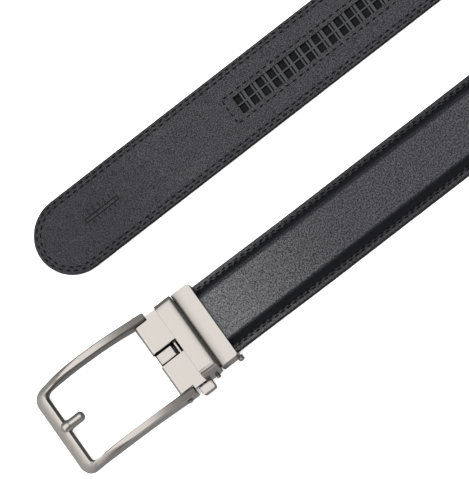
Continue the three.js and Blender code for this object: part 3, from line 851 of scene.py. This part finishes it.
def makeStrap():
    front = sweepStrap(frontSection())
    reach = rack["flangeReach"] + rack["play"]
    end = strap["length"] - aperture["fromTip"]
    start = end - apertureLength
    half = rack["flangeHalf"] + 0.1
    pocket = boxMesh((start - reach, -half, 0), (end + reach, half, rack["bottom"] + 0.05))
    front = combined(front, pocket)
    mapStrap(front, strap["marginHeight"])
    layOnFloor(front)
    finishPiece(front, "frontLeather", "root", "frontLeather", ["strap_front"], 50)
    back = sweepStrap(backSection())
    opening = boxMesh((start, -aperture["halfWidth"], -1), (end, aperture["halfWidth"], 2))
    bevelEdges(opening, edgesAlong(opening, 2), aperture["corner"], 4)
    back = combined(back, opening)
    mapStrap(back, 0)
    layOnFloor(back)
    finishPiece(back, "backLeather", "root", "backLeather", ["strap_liner"], 50)


makeStrap()
makeStitches("frontStitches", rowPlaces(frontStitches), frontStitches)
makeStitches("backStitches", rowPlaces(backStitches) + boxPlaces(), backStitches)
print("strap ready")


# Rack let into the back of the tail

def makeRack():
    tip = -strap["tipBeyondClamp"]
    start = tip + aperture["fromTip"] + rack["play"]
    end = tip + aperture["fromTip"] + apertureLength - rack["play"]
    rib = aperture["rib"] - rack["play"]
    high = tailHeight - rack["top"]
    low = tailHeight - rack["floor"]
    catchTop = tailHeight - rack["catchTop"]
    points = [(start, low - 0.3), (start, low)]
    for tooth in range(aperture["teeth"]):
        ribLeft = start + (tooth + 1) * aperture["pitch"] - aperture["rib"]
        catchEnd = ribLeft - rack["catchDrop"]
        points += [(catchEnd - rack["catchRun"], low), (catchEnd - rack["catchFlat"], catchTop)]
        points += [(catchEnd, catchTop), (catchEnd, low), (ribLeft, low), (ribLeft, high)]
        if tooth < aperture["teeth"] - 1:
            points += [(ribLeft + rib, high), (ribLeft + rib, low)]
    points += [(end, high), (end, low - 0.3)]
    half = aperture["halfWidth"] - rack["play"]
    bm = profileMesh(points, "Y", tailY - half, tailY + half)
    bevelEdges(bm, [edge for edge in sharpEdges(bm) if runsAlong(edge, 1)], rack["edge"], 2)
    webHalf = rack["webWidth"] / 2
    web = boxMesh((start, tailY - webHalf, low - 0.2), (end, tailY + webHalf, high - 0.04), rack["edge"])
    flange = boxMesh((start - rack["flangeReach"], tailY - rack["flangeHalf"], tailHeight - rack["bottom"]),
                     (end + rack["flangeReach"], tailY + rack["flangeHalf"], low - 0.05))
    bm = tidied(joined(bm, web, flange))
    finishPiece(bm, "rack", "root", "rackPlastic", ["ratchet_rack"], 40)


makeRack()


# Strap clamp: a cup round the strap's end, with a tongue and knuckle on its far side
clamp = {
    "length": 9.15,
    "halfWidth": 19.4,
    "top": 7.0,
    "easedWide": 4.2,      # the long edge beside the keeper, a quarter of an ellipse
    "easedHigh": 0.5,
    "frontCorner": 1.3,
    "edge": 0.42,
    "pocketDeep": 8.2,
    "pocketHalf": 17.6,
    "pocketLow": 1.55,
    "pocketHigh": 5.62,
    "pinX": {-1: -0.5, 1: -1.7},
    "pinZ": 1.6,
    "pinRadius": 1.35,
    "pinProud": {-1: 1.7, 1: 0.5},
    "pinSunk": 0.4,
}
swivel = {
    "x": -12.7,
    "z": 1.9,
    "pin": 0.95,
    "knuckle": 1.75,
    "bore": 1.15,
    "halfWidth": 17.9,
    "proud": 1.6,
    "tongueRoot": -8.8,
    "tongueRise": (-1.078, 1.125),     # its underside and top at the root, from the axis
}


def makeClamp():
    half = clamp["halfWidth"]
    outline = [(-clamp["length"], 0), (0, 0), (0, clamp["top"])]
    outline += easedCorner(-clamp["length"], clamp["top"], clamp["easedWide"], clamp["easedHigh"], 14)
    bm = profileMesh(outline, "Y", -half, half)
    bevelEdges(bm, edgesAlong(bm, 2, lambda middle: middle.x > -0.1), clamp["frontCorner"], 6)
    bevelEdges(bm, sharpEdges(bm), clamp["edge"])
    pocket = boxMesh((-clamp["pocketDeep"], -clamp["pocketHalf"], clamp["pocketLow"]),
                     (1, clamp["pocketHalf"], clamp["pocketHigh"]))
    bevelEdges(pocket, edgesAlong(pocket, 0), 0.5)
    bm = combined(bm, pocket)
    outline = arcPoints(swivel["x"], swivel["z"], swivel["knuckle"], 40, 322, 24)
    outline += [(swivel["tongueRoot"], swivel["z"] + rise) for rise in swivel["tongueRise"]]
    tongue = profileMesh(outline, "Y", -swivel["halfWidth"], swivel["halfWidth"])
    bevelEdges(tongue, [edge for edge in sharpEdges(tongue) if not runsAlong(edge, 1)], 0.2, 2)
    bore = rodMesh(swivel, swivel["bore"], -half - 1, half + 1, 32)
    bm = tidied(joined(bm, combined(tongue, bore)))
    finishPiece(bm, "clamp", "root", "clampMetal", ["strap_clamp"])


def makeDomedPin(name, axle, radius, inner, seen, body, node, dome):
    # a round pin along Y whose seen end is domed
    low, high = sorted((inner, seen))
    bm = rodMesh(axle, radius, low, high, 40)
    head = [edge for edge in sharpEdges(bm) if all(abs(vertex.co.y - seen) < 0.01 for vertex in edge.verts)]
    bevelEdges(bm, head, min(dome, radius * 0.45), 5)
    foot = [edge for edge in sharpEdges(bm, 60) if abs(edge.verts[0].co.y - seen) > 0.4]
    bevelEdges(bm, foot, 0.12, 2)
    finishPiece(bm, name, body, "pinSteel", [node])


makeClamp()
for side, name, node in ((-1, "clampPinNear", "clamp_pin_near"), (1, "clampPinFar", "clamp_pin_far")):
    axle = {"x": clamp["pinX"][side], "z": clamp["pinZ"]}
    makeDomedPin(name, axle, clamp["pinRadius"], side * (clamp["halfWidth"] - clamp["pinSunk"]),
                 side * (clamp["halfWidth"] + clamp["pinProud"][side]), "root", node, 0.45)


# Ratchet body: plate with a rolled edge, two side walls and the keeper
body = {
    "left": -23.3,
    "right": -9.9,
    "halfWidth": 19.5,
    "wall": 1.3,
    "plateTop": 5.7,
    "plateThickness": 1.2,
    "plateNarrow": 17.6,
    "keeperLeft": -17.4,
    "keeperTop": 11,
    "keeperThickness": 1.0,
    "keeperRounding": 3.1,
    "keeperCrease": 0.22,
    "keeperLeftEdge": 0.25,
    "keeperRight": -9.45,
    "keeperEasedWide": 3,      # the edge beside the clamp
    "keeperEasedHigh": 0.5,
    "skirtDepth": 2.4,
    "lobeBottom": 0.5,
    "lobeRight": -17.2,
    "footLeft": -16.2,
    "footCut": (1.4, 1.2),     # slanted corner under the clamp's knuckle
    "volume": 1621,            # cubic millimetres, of the whole mesh
    "edge": 0.22,
}
hinge = {
    "x": -28.5,
    "z": 3.6,
    "knuckle": 2.04,
    "pin": 1.3,
    "hole": 1.42,          # in the frame's arms
    "bore": 1.48,
    "pinReach": 12,
    "proud": 0.75,
}
notch = {
    "centre": 0.3,
    "width": 6.7,
    "right": -18,
    # the floor sheets are dark sheets put under the notch as shade, so that the white floor doesn't show
    # through; below the notch they also take its painted shade
    "floor": (((-21.6, -18.4, 0.5), (-17.2, 18.4, 1)), ((-23.2, 2.7, 0.55), (-17.4, 18.4, 0.95)),
              ((-30.2, 2.7, 0.55), (-23, 17.4, 0.95)), ((-30.2, -3.6, 0.6), (-27.6, 3, 0.9))),
    "bar": ((-19.85, -3.4, 4.7), (-19.2, 2.2, 5.5)),
}
tab = {
    "left": -22.3,
    "right": -15.7,
    "outer": -24.2,
    "inner": -19.9,
    "height": 3,
    "corner": 1.1,
    "edge": 0.5,
}
shaft = {"x": -19.6, "z": 3, "radius": 0.7, "hub": 1.7, "hubBore": 1.9, "bore": 0.88}


def mirroredOutline(half):
    # half runs from +Y to the middle
    return half + [(-a, b) for a, b in reversed(half)]


def withWalls(bm, legTop, wallTop):
    half = body["halfWidth"]
    skirt = body["plateTop"] - body["skirtDepth"]
    cutX, cutZ = body["footCut"]
    profile = [(body["left"], wallTop), (body["left"], skirt), (tab["left"] + 0.3, skirt),
               (tab["left"] + 0.9, body["lobeBottom"]), (body["lobeRight"], body["lobeBottom"]),
               (body["footLeft"], 0), (body["right"] - cutX, 0), (body["right"], cutZ),
               (body["right"], legTop), (body["keeperLeft"], legTop), (body["keeperLeft"], wallTop)]
    spans = ((-half, -half + body["wall"]), (half - body["wall"], half))
    return joined(bm, *[profileMesh(profile, "Y", low, high) for low, high in spans])


def keeperArch(wallTop):
    half, top = body["halfWidth"], body["keeperTop"]
    left, right = body["keeperLeft"], body["keeperRight"]
    rounding, crease = body["keeperRounding"], body["keeperCrease"]
    bend = half - rounding
    outer = [(half, wallTop)] + arcPoints(bend, top - rounding - crease * 0.6, rounding, 0, 84, 12)
    outer += [(bend - 0.12, top - crease * 0.5), (bend - 0.3, top)]
    arch = profileMesh(mirroredOutline(outer), "X", left, right)
    inner = [(half - body["wall"], body["plateTop"])]
    inner += arcPoints(bend, top - rounding, rounding - body["keeperThickness"], 0, 90, 8)
    arch = combined(arch, profileMesh(mirroredOutline(inner), "X", left - 1, body["right"] + 1))
    outline = [(left, -1), (right, -1)]
    outline += easedCorner(right, top, -body["keeperEasedWide"], body["keeperEasedHigh"], 10)[::-1]
    outline += easedCorner(left, top, body["keeperLeftEdge"], body["keeperLeftEdge"], 6)
    return combined(arch, profileMesh(outline, "Y", -half - 1, half + 1), "INTERSECT")


def bodyMesh():
    half, top = body["halfWidth"], body["plateTop"]
    under = top - body["plateThickness"]
    end = math.degrees(math.asin((under - hinge["z"]) / hinge["knuckle"]))
    outline = arcPoints(hinge["x"], hinge["z"], hinge["knuckle"], 90, 360 + end, 30)
    outline[0] = (hinge["x"], top)
    outline += [(body["right"], under), (body["right"], top)]
    bm = profileMesh(outline, "Y", -body["plateNarrow"], body["plateNarrow"])
    bm = joined(bm, boxMesh((body["left"], -half, under), (body["right"], half, top)))
    wallTop = top - body["plateThickness"] / 2
    bm = withWalls(bm, body["keeperTop"] - body["keeperRounding"], wallTop)
    bm = joined(bm, keeperArch(wallTop))
    cutter = boxMesh((hinge["x"] - 4, notch["centre"] - notch["width"] / 2, -1),
                     (notch["right"], notch["centre"] + notch["width"] / 2, 12))
    bm = tidied(combined(bm, cutter), 2)
    bevelEdges(bm, [edge for edge in sharpEdges(bm, 40) if edge.calc_length() > 0.6], body["edge"])
    # the dark sheets under the notch, which stand in for shade, and the bar
    bm = joined(bm, *[boxMesh(low, high) for low, high in notch["floor"] + (notch["bar"],)])
    for axle, size, low, high in ((hinge, "bore", -20, -hinge["pinReach"] + 0.2),
                                  (hinge, "bore", hinge["pinReach"] - 0.2, 20),
                                  (swivel, "bore", -21, 21),
                                  (shaft, "hubBore", -21, -1),
                                  (shaft, "bore", 1, 21)):
        bm = combined(bm, rodMesh(axle, axle[size], low, high, 32))
    return tidied(bm)


def makeBody():
    # the Boolean solver now and then loses a wall here, so the mesh is built until its volume is right
    bm = bodyMesh()
    for attempt in range(12):
        if abs(bm.calc_volume() - body["volume"]) < 5:
            break
        bm.free()
        bm = bodyMesh()
    finishPiece(bm, "ratchetBody", "ratchet", "notchedMetal", ["ratchet_body"])


makeBody()
makeDomedPin("swivelPin", swivel, swivel["pin"], body["halfWidth"] - 0.1,
             -body["halfWidth"] - swivel["proud"], "ratchet", "swivel_pin", 0.4)


# Frame: an arched open bar with two arms
bow = {
    "left": -83.3,
    "barWidth": 6.3,
    "end": 4.9,
    "crestX": -57,
    "barZ": 2.15,
    "arch": 4.9,
    "lift": 1.8,           # how much higher the arms stay towards the bar
    "liftRise": (-50, 24),     # where that begins, and over what length
    "liftFall": (-76, 7.3),    # and where a quarter of it is lost again
    "endSlope": 0.26,
    "armHeight": 6.7,
    "barHeight": 4.2,
    "depthRun": 16,
    "outer": (21.7, 22.2, 21.8),     # half widths at the corner, crest and hinge
    "inner": (18.2, 18.75, 18),
    "outerCorner": 5.6,
    "innerCorner": 2.4,
    "crownBar": (3.4, 1.2, 0.5, 1.05),       # outer crown at the bar: two widths and two drops
    "crownArm": (0.6, 0.3, 0.14, 0.36),
    "crownRun": (4, 26),
    "innerBevel": (1.1, 0.4),    # at the bar and along the arms
    "innerDrop": 1.5,
    "lowerBevel": 0.7,
    "edge": 0.3,
    "beyond": 25,          # past the outer faces of both arms
}
prong = {
    "x": -80.1,
    "y": 1.5,
    "z": 6.4,
    "length": 11.7,
    "head": 2.2,
    "headLength": 4.4,
    "stem": 1.85,
    "wide": 1.24,
    "flat": 0.8,
    "play": 0.07,          # round it, in the bar
}


def bowHeight(x):
    # an arch over the straight line from the hinge to the bar; past the hinge the underside is level
    if x > hinge["x"]:
        return hinge["z"] - bow["endSlope"] / 2 * (x - hinge["x"])
    t = (hinge["x"] - x) / (hinge["x"] - bow["left"])
    rise, fall = [smoothStep((start - x) / run) for start, run in (bow["liftRise"], bow["liftFall"])]
    lift = bow["lift"] * (rise - 0.25 * fall)
    return hinge["z"] + (bow["barZ"] - hinge["z"]) * t + bow["arch"] * math.sin(math.pi * t) + lift


def bowDepth(x):
    grown = smoothStep((x - bow["left"] - bow["barWidth"] / 2) / bow["depthRun"])
    level = bow["barHeight"] + (bow["armHeight"] - bow["barHeight"]) * grown
    return level - bow["endSlope"] * max(0, x - hinge["x"])


def bowHalfWidth(x, widths):
    towardsBar = x < bow["crestX"]
    farX = bow["left"] + bow["outerCorner"] if towardsBar else hinge["x"]
    far = widths[0] if towardsBar else widths[2]
    t = min(1, (x - bow["crestX"]) / (farX - bow["crestX"]))
    return widths[1] - (widths[1] - far) * t ** 2


def bowStations():
    # outer and inner points in plan, from the near hinge round the bar to the far hinge
    stations = []
    cornerX = bow["left"] + bow["outerCorner"]
    start, stop = hinge["x"] + bow["end"] + 1, cornerX + 1.2
    steps = 34
    for i in range(steps + 1):
        x = start + (stop - start) * i / steps
        stations.append([Vector((x, bowHalfWidth(x, bow[side]))) for side in ("outer", "inner")])
    innerX = bow["left"] + bow["barWidth"] + bow["innerCorner"]
    corners = ((cornerX, bow["outer"][0], bow["outerCorner"]), (innerX, bow["inner"][0], bow["innerCorner"]))
    steps = 14
    for i in range(steps + 1):
        turn = math.pi / 2 * (1 + i / steps)
        way = Vector((math.cos(turn), math.sin(turn)))
        stations.append([Vector((x, half - radius)) + way * radius for x, half, radius in corners])
    bar = [(bow["left"], stations[-1][0].y), (bow["left"] + bow["barWidth"], stations[-1][1].y)]
    steps = 11
    for i in range(1, steps + 1):
        stations.append([Vector((x, y * (1 - i / steps))) for x, y in bar])
    return stations


def bowRing(outer, inner):
    along = (outer - inner).normalized()
    begin, run = bow["crownRun"]
    away = smoothStep((outer.x - bow["left"] - begin) / run)
    wide, narrow, shallow, deep = [a + (b - a) * away for a, b in zip(bow["crownBar"], bow["crownArm"])]
    fine = bow["innerBevel"][0] + (bow["innerBevel"][1] - bow["innerBevel"][0]) * away
    lower = bow["lowerBevel"]

    def corner(base, inwards, side, inset):
        place = base + along * inwards
        return Vector((place.x, place.y, bowHeight(place.x) + side * (bowDepth(place.x) / 2 - inset)))

    return [corner(inner, fine, -1, 0), corner(outer, -lower, -1, 0), corner(outer, 0, -1, lower),
            corner(outer, 0, 1, deep), corner(outer, -narrow, 1, shallow), corner(outer, -wide, 1, 0),
            corner(inner, fine, 1, 0), corner(inner, 0, 1, fine * bow["innerDrop"]),
            corner(inner, 0, -1, fine)]


def prongOutline(grow):
    head, stem, headLength = prong["head"] + grow, prong["stem"] + grow, prong["headLength"]
    points = [(0, -grow)] + arcPoints(0, prong["head"], head, -80, 0, 8)
    points += [(head, headLength - 0.9), (head - 0.1, headLength - 0.45), (stem, headLength)]
    points += arcPoints(0, prong["length"] - prong["stem"], stem, 0, 80, 10)
    return points + [(0, prong["length"] + grow)]


def prongMesh(grow):
    # an outline spun about the prong's own axis, then flattened
    bm = bmesh.new()
    x, y, z = prong["x"], prong["y"], prong["z"]
    line = [bm.verts.new((x + along, y + radius, z)) for radius, along in prongOutline(grow)]
    edges = [bm.edges.new(pair) for pair in zip(line, line[1:])]
    bmesh.ops.spin(bm, geom=line + edges, cent=(x, y, z), axis=(1, 0, 0), angle=2 * math.pi, steps=40,
                   use_merge=True)
    weld(bm)
    for vertex in bm.verts:
        vertex.co.y = y + (vertex.co.y - y) * prong["wide"]
        vertex.co.z = z + (vertex.co.z - z) * prong["flat"]
    faceOutwards(bm)
    return bm


def isEnd(edge):
    # the end faces' own edges, which the round ends cut away
    return max(vertex.co.x for vertex in edge.verts) > hinge["x"] + bow["end"] + 0.9


def makeBow():
    bm = bmesh.new()
    rings = [bowRing(outer, inner) for outer, inner in bowStations()]
    previous = [bm.verts.new(point) for point in rings[0]]
    edges = [bm.edges.new(pair) for pair in zip(previous, previous[1:] + previous[:1])]
    bmesh.ops.contextual_create(bm, geom=edges)
    for ring in rings[1:]:
        loop = [bm.edges.get(pair) for pair in zip(previous, previous[1:] + previous[:1])]
        made = fresh(bmesh.ops.extrude_edge_only(bm, edges=loop))
        previous = [next(edge.other_vert(old) for edge in old.link_edges if edge.other_vert(old) in made)
                    for old in previous]
        for vertex, point in zip(previous, ring):
            vertex.co = point
    bmesh.ops.mirror(bm, geom=bm.verts[:] + bm.edges[:] + bm.faces[:], axis="Y", merge_dist=0.001)
    weld(bm, 0.001)
    faceOutwards(bm)
    bevelEdges(bm, [edge for edge in sharpEdges(bm, 25) if edge.calc_length() > 0.05 and not isEnd(edge)],
               bow["edge"])
    x, z, beyond = hinge["x"], hinge["z"], bow["beyond"]
    endBlock = boxMesh((x, -beyond + 1, z - 10), (x + 10, beyond - 1, z + 10))
    bm = combined(bm, combined(endBlock, rodMesh(hinge, bow["end"], -beyond, beyond, 96)))
    bm = combined(bm, prongMesh(prong["play"]))
    bm = combined(bm, rodMesh(hinge, hinge["hole"], -beyond, beyond, 40))
    finishPiece(bm, "bow", "frame", "bowMetal", ["buckle_frame"], 38)


# The walls round the opening are painted darker than the outer faces: painted shade
innerWallShade = (origin.y, 0.01885, origin.x + (bow["left"] + bow["barWidth"] - 1) * mm)
materials["bowMetal"] = makeSatinMetal("bowMetal", insideShade=innerWallShade)
makeBow()
finishPiece(prongMesh(0), "prong", "frame", "satinMetal", ["false_prong"], 50)
for side, name, node in ((-1, "bowPinNear", "frame_pin_near"), (1, "bowPinFar", "frame_pin_far")):
    makeDomedPin(name, hinge, hinge["pin"], side * hinge["pinReach"],
                 side * (bow["outer"][2] + hinge["proud"]), "frame", node, 0.25)


# Pawl lever: finger in the notch, arm and hub under the plate, tab outside the near wall
pawl = {
    "left": -29.4,
    "right": -21.4,
    "halfWidth": 2.7,
    "farSide": 2.35,
    "bottom": 2.6,
    "beak": 2,
    "corner": 0.5,
    "below": 0.06,         # how far its level top lies below the plate
    "neck": 1.25,
    "hubGap": 0.6,
    "armWidth": 4,
    "armBottom": 1.1,      # below the shaft's axis
    "armDrop": 0.4,        # below the plate
    "edge": 0.12,
}
coil = {"radius": 0.98, "wire": 0.19, "pitch": 0.6, "turns": 8, "steps": 24}


def makePawl():
    left, right, corner = pawl["left"], pawl["right"], pawl["corner"]
    low, level = notch["centre"] - pawl["halfWidth"], body["plateTop"] - pawl["below"]
    profile = [(left, hinge["z"]), (left + pawl["beak"], pawl["bottom"]), (right, pawl["bottom"]),
               (right, level - 0.2), (right - corner, level), (left + corner, level),
               (left, body["plateTop"] - corner)]
    bm = profileMesh(profile, "Y", low, pawl["farSide"])
    bevelEdges(bm, sharpEdges(bm), pawl["edge"], 2)
    armTop = body["plateTop"] - body["plateThickness"] - pawl["armDrop"]
    hubEnd = low - pawl["hubGap"]
    for x0, x1, y1 in ((right - pawl["armWidth"], right, low + 0.5), (right - 1, shaft["x"], hubEnd)):
        near = (x0, low - pawl["armWidth"], shaft["z"] - pawl["armBottom"])
        arm = boxMesh(near, (x1, y1, armTop), pawl["edge"])
        bm = joined(bm, arm)
    hub = rodMesh(shaft, shaft["hub"], -body["halfWidth"], hubEnd, 40)
    bevelEdges(hub, sharpEdges(hub), pawl["edge"], 2)
    neck = rodMesh(shaft, pawl["neck"], tab["inner"] - 0.4, -body["halfWidth"] + 1, 40)
    bm = joined(bm, hub, neck)
    half = tab["height"] / 2
    block = boxMesh((tab["left"], tab["outer"], shaft["z"] - half),
                    (tab["right"], tab["inner"], shaft["z"] + half))
    bevelEdges(block, edgesAlong(block, 2, lambda middle: middle.y < tab["outer"] + 1), tab["corner"], 6)
    bevelEdges(block, [edge for edge in sharpEdges(block) if not runsAlong(edge, 2)], tab["edge"], 5)
    bm = combined(joined(bm, block), rodMesh(shaft, shaft["bore"], tab["inner"] - 1.2, 0, 32))
    finishPiece(bm, "pawl", "pawl", "notchedMetal", ["pawl_lever"])


def makeSpring():
    # a ring of wire spun into a coil along the shaft
    bm = bmesh.new()
    start = notch["centre"] - coil["turns"] * coil["pitch"] / 2
    turn = Matrix.Translation((shaft["x"] + coil["radius"], start, shaft["z"]))
    made = bmesh.ops.create_circle(bm, cap_ends=False, segments=8, radius=coil["wire"], matrix=turn)
    bmesh.ops.spin(bm, geom=made["verts"] + bm.edges[:], cent=(shaft["x"], start, shaft["z"]), axis=(0, 1, 0),
                   dvec=(0, coil["pitch"] / coil["steps"], 0), angle=2 * math.pi * coil["turns"],
                   steps=coil["turns"] * coil["steps"])
    bmesh.ops.holes_fill(bm, edges=[edge for edge in bm.edges if edge.is_boundary], sides=0)
    finishPiece(bm, "spring", "ratchet", "notchedMetal", ["return_spring"], 60)


makePawl()
makeDomedPin("pawlShaft", shaft, shaft["radius"], tab["inner"] - 1, body["halfWidth"] - 0.1, "ratchet",
             "pawl_shaft", 0.2)
makeSpring()
print("buckle ready")


# Floor, lights and surroundings
studio = {
    "floor": (0.93, 0.93, 0.93, 1),
    "floorShade": (0.92, 0.92, 0.92, 1),
    "floorGlow": 0.3,      # lifts the shadows on the white background
    "sky": 0.2,            # overhead, beside the panels
    "horizon": 0.45,
    "leftGlow": 0.45,      # what is added towards -X
    "nearGlow": 0.12,      # and towards -Y
    "key": {"place": (-0.8, 0.44, 1.4), "radiance": 1.7, "size": (2.3, 1.35), "target": (0, -0.02, 0)},
    "strip": {"place": (0, -1.35, 1.15), "radiance": 1.3, "size": (2.6, 0.28), "target": (0, 0, 0)},
    "fill": {"place": (0, 0, 1.6), "radiance": 1.5, "size": (4.5, 4.5), "target": (0, 0, 0)},
}


def makeFloor():
    bm = bmesh.new()
    bmesh.ops.create_grid(bm, x_segments=1, y_segments=1, size=6)
    floor = linked("floor", meshOf(bm, "floor"))
    material, where, feed = newMaterial("floorPaper", {"Roughness": 0.85, "Specular IOR Level": 0.1,
                                                       "Emission Color": (1, 1, 1, 1),
                                                       "Emission Strength": studio["floorGlow"]})
    feed("Base Color", where.noise(3).between(studio["floorShade"], studio["floor"]))
    floor.data.materials.append(material)
    floor.visible_glossy = False


def addPanel(name):
    # an area light with one side along X; its radiance is what a mirror would show
    sizes = studio[name]
    data = bpy.data.lights.new(name, "AREA")
    data.shape = "RECTANGLE"
    data.size, data.size_y = sizes["size"]
    data.energy = sizes["radiance"] * 4 * data.size * data.size_y
    lamp = linked(name, data)
    place = Vector(sizes["place"])
    back = (place - Vector(sizes["target"])).normalized()
    across = sideOf(back)
    lamp.matrix_world = placed(place, across, back.cross(across), back)
    return lamp


def makeSurroundings():
    world = bpy.data.worlds.new("studio")
    bpy.context.scene.world = world
    world.use_nodes = True
    tree = world.node_tree
    background = next(node for node in tree.nodes if node.type == "BACKGROUND")
    way = Signal(tree).node("ShaderNodeTexCoord", output=0)
    left, near, height = [-1 * way.part(0), -1 * way.part(1), way.part(2)]
    level = 1 - height.fade(0.05, 0.6)
    glow = left.fade(0.3, 0.95) * studio["leftGlow"] + near.fade(0.5, 0.95) * studio["nearGlow"]
    grey = level * (studio["horizon"] - studio["sky"]) + studio["sky"] + glow
    tree.links.new(grey.socket, background.inputs["Color"])


makeFloor()
makeSurroundings()
addPanel("key")
addPanel("strip")
fill = addPanel("fill")
fill.visible_glossy = False
bpy.context.scene.view_settings.view_transform = "Standard"
print("studio ready")
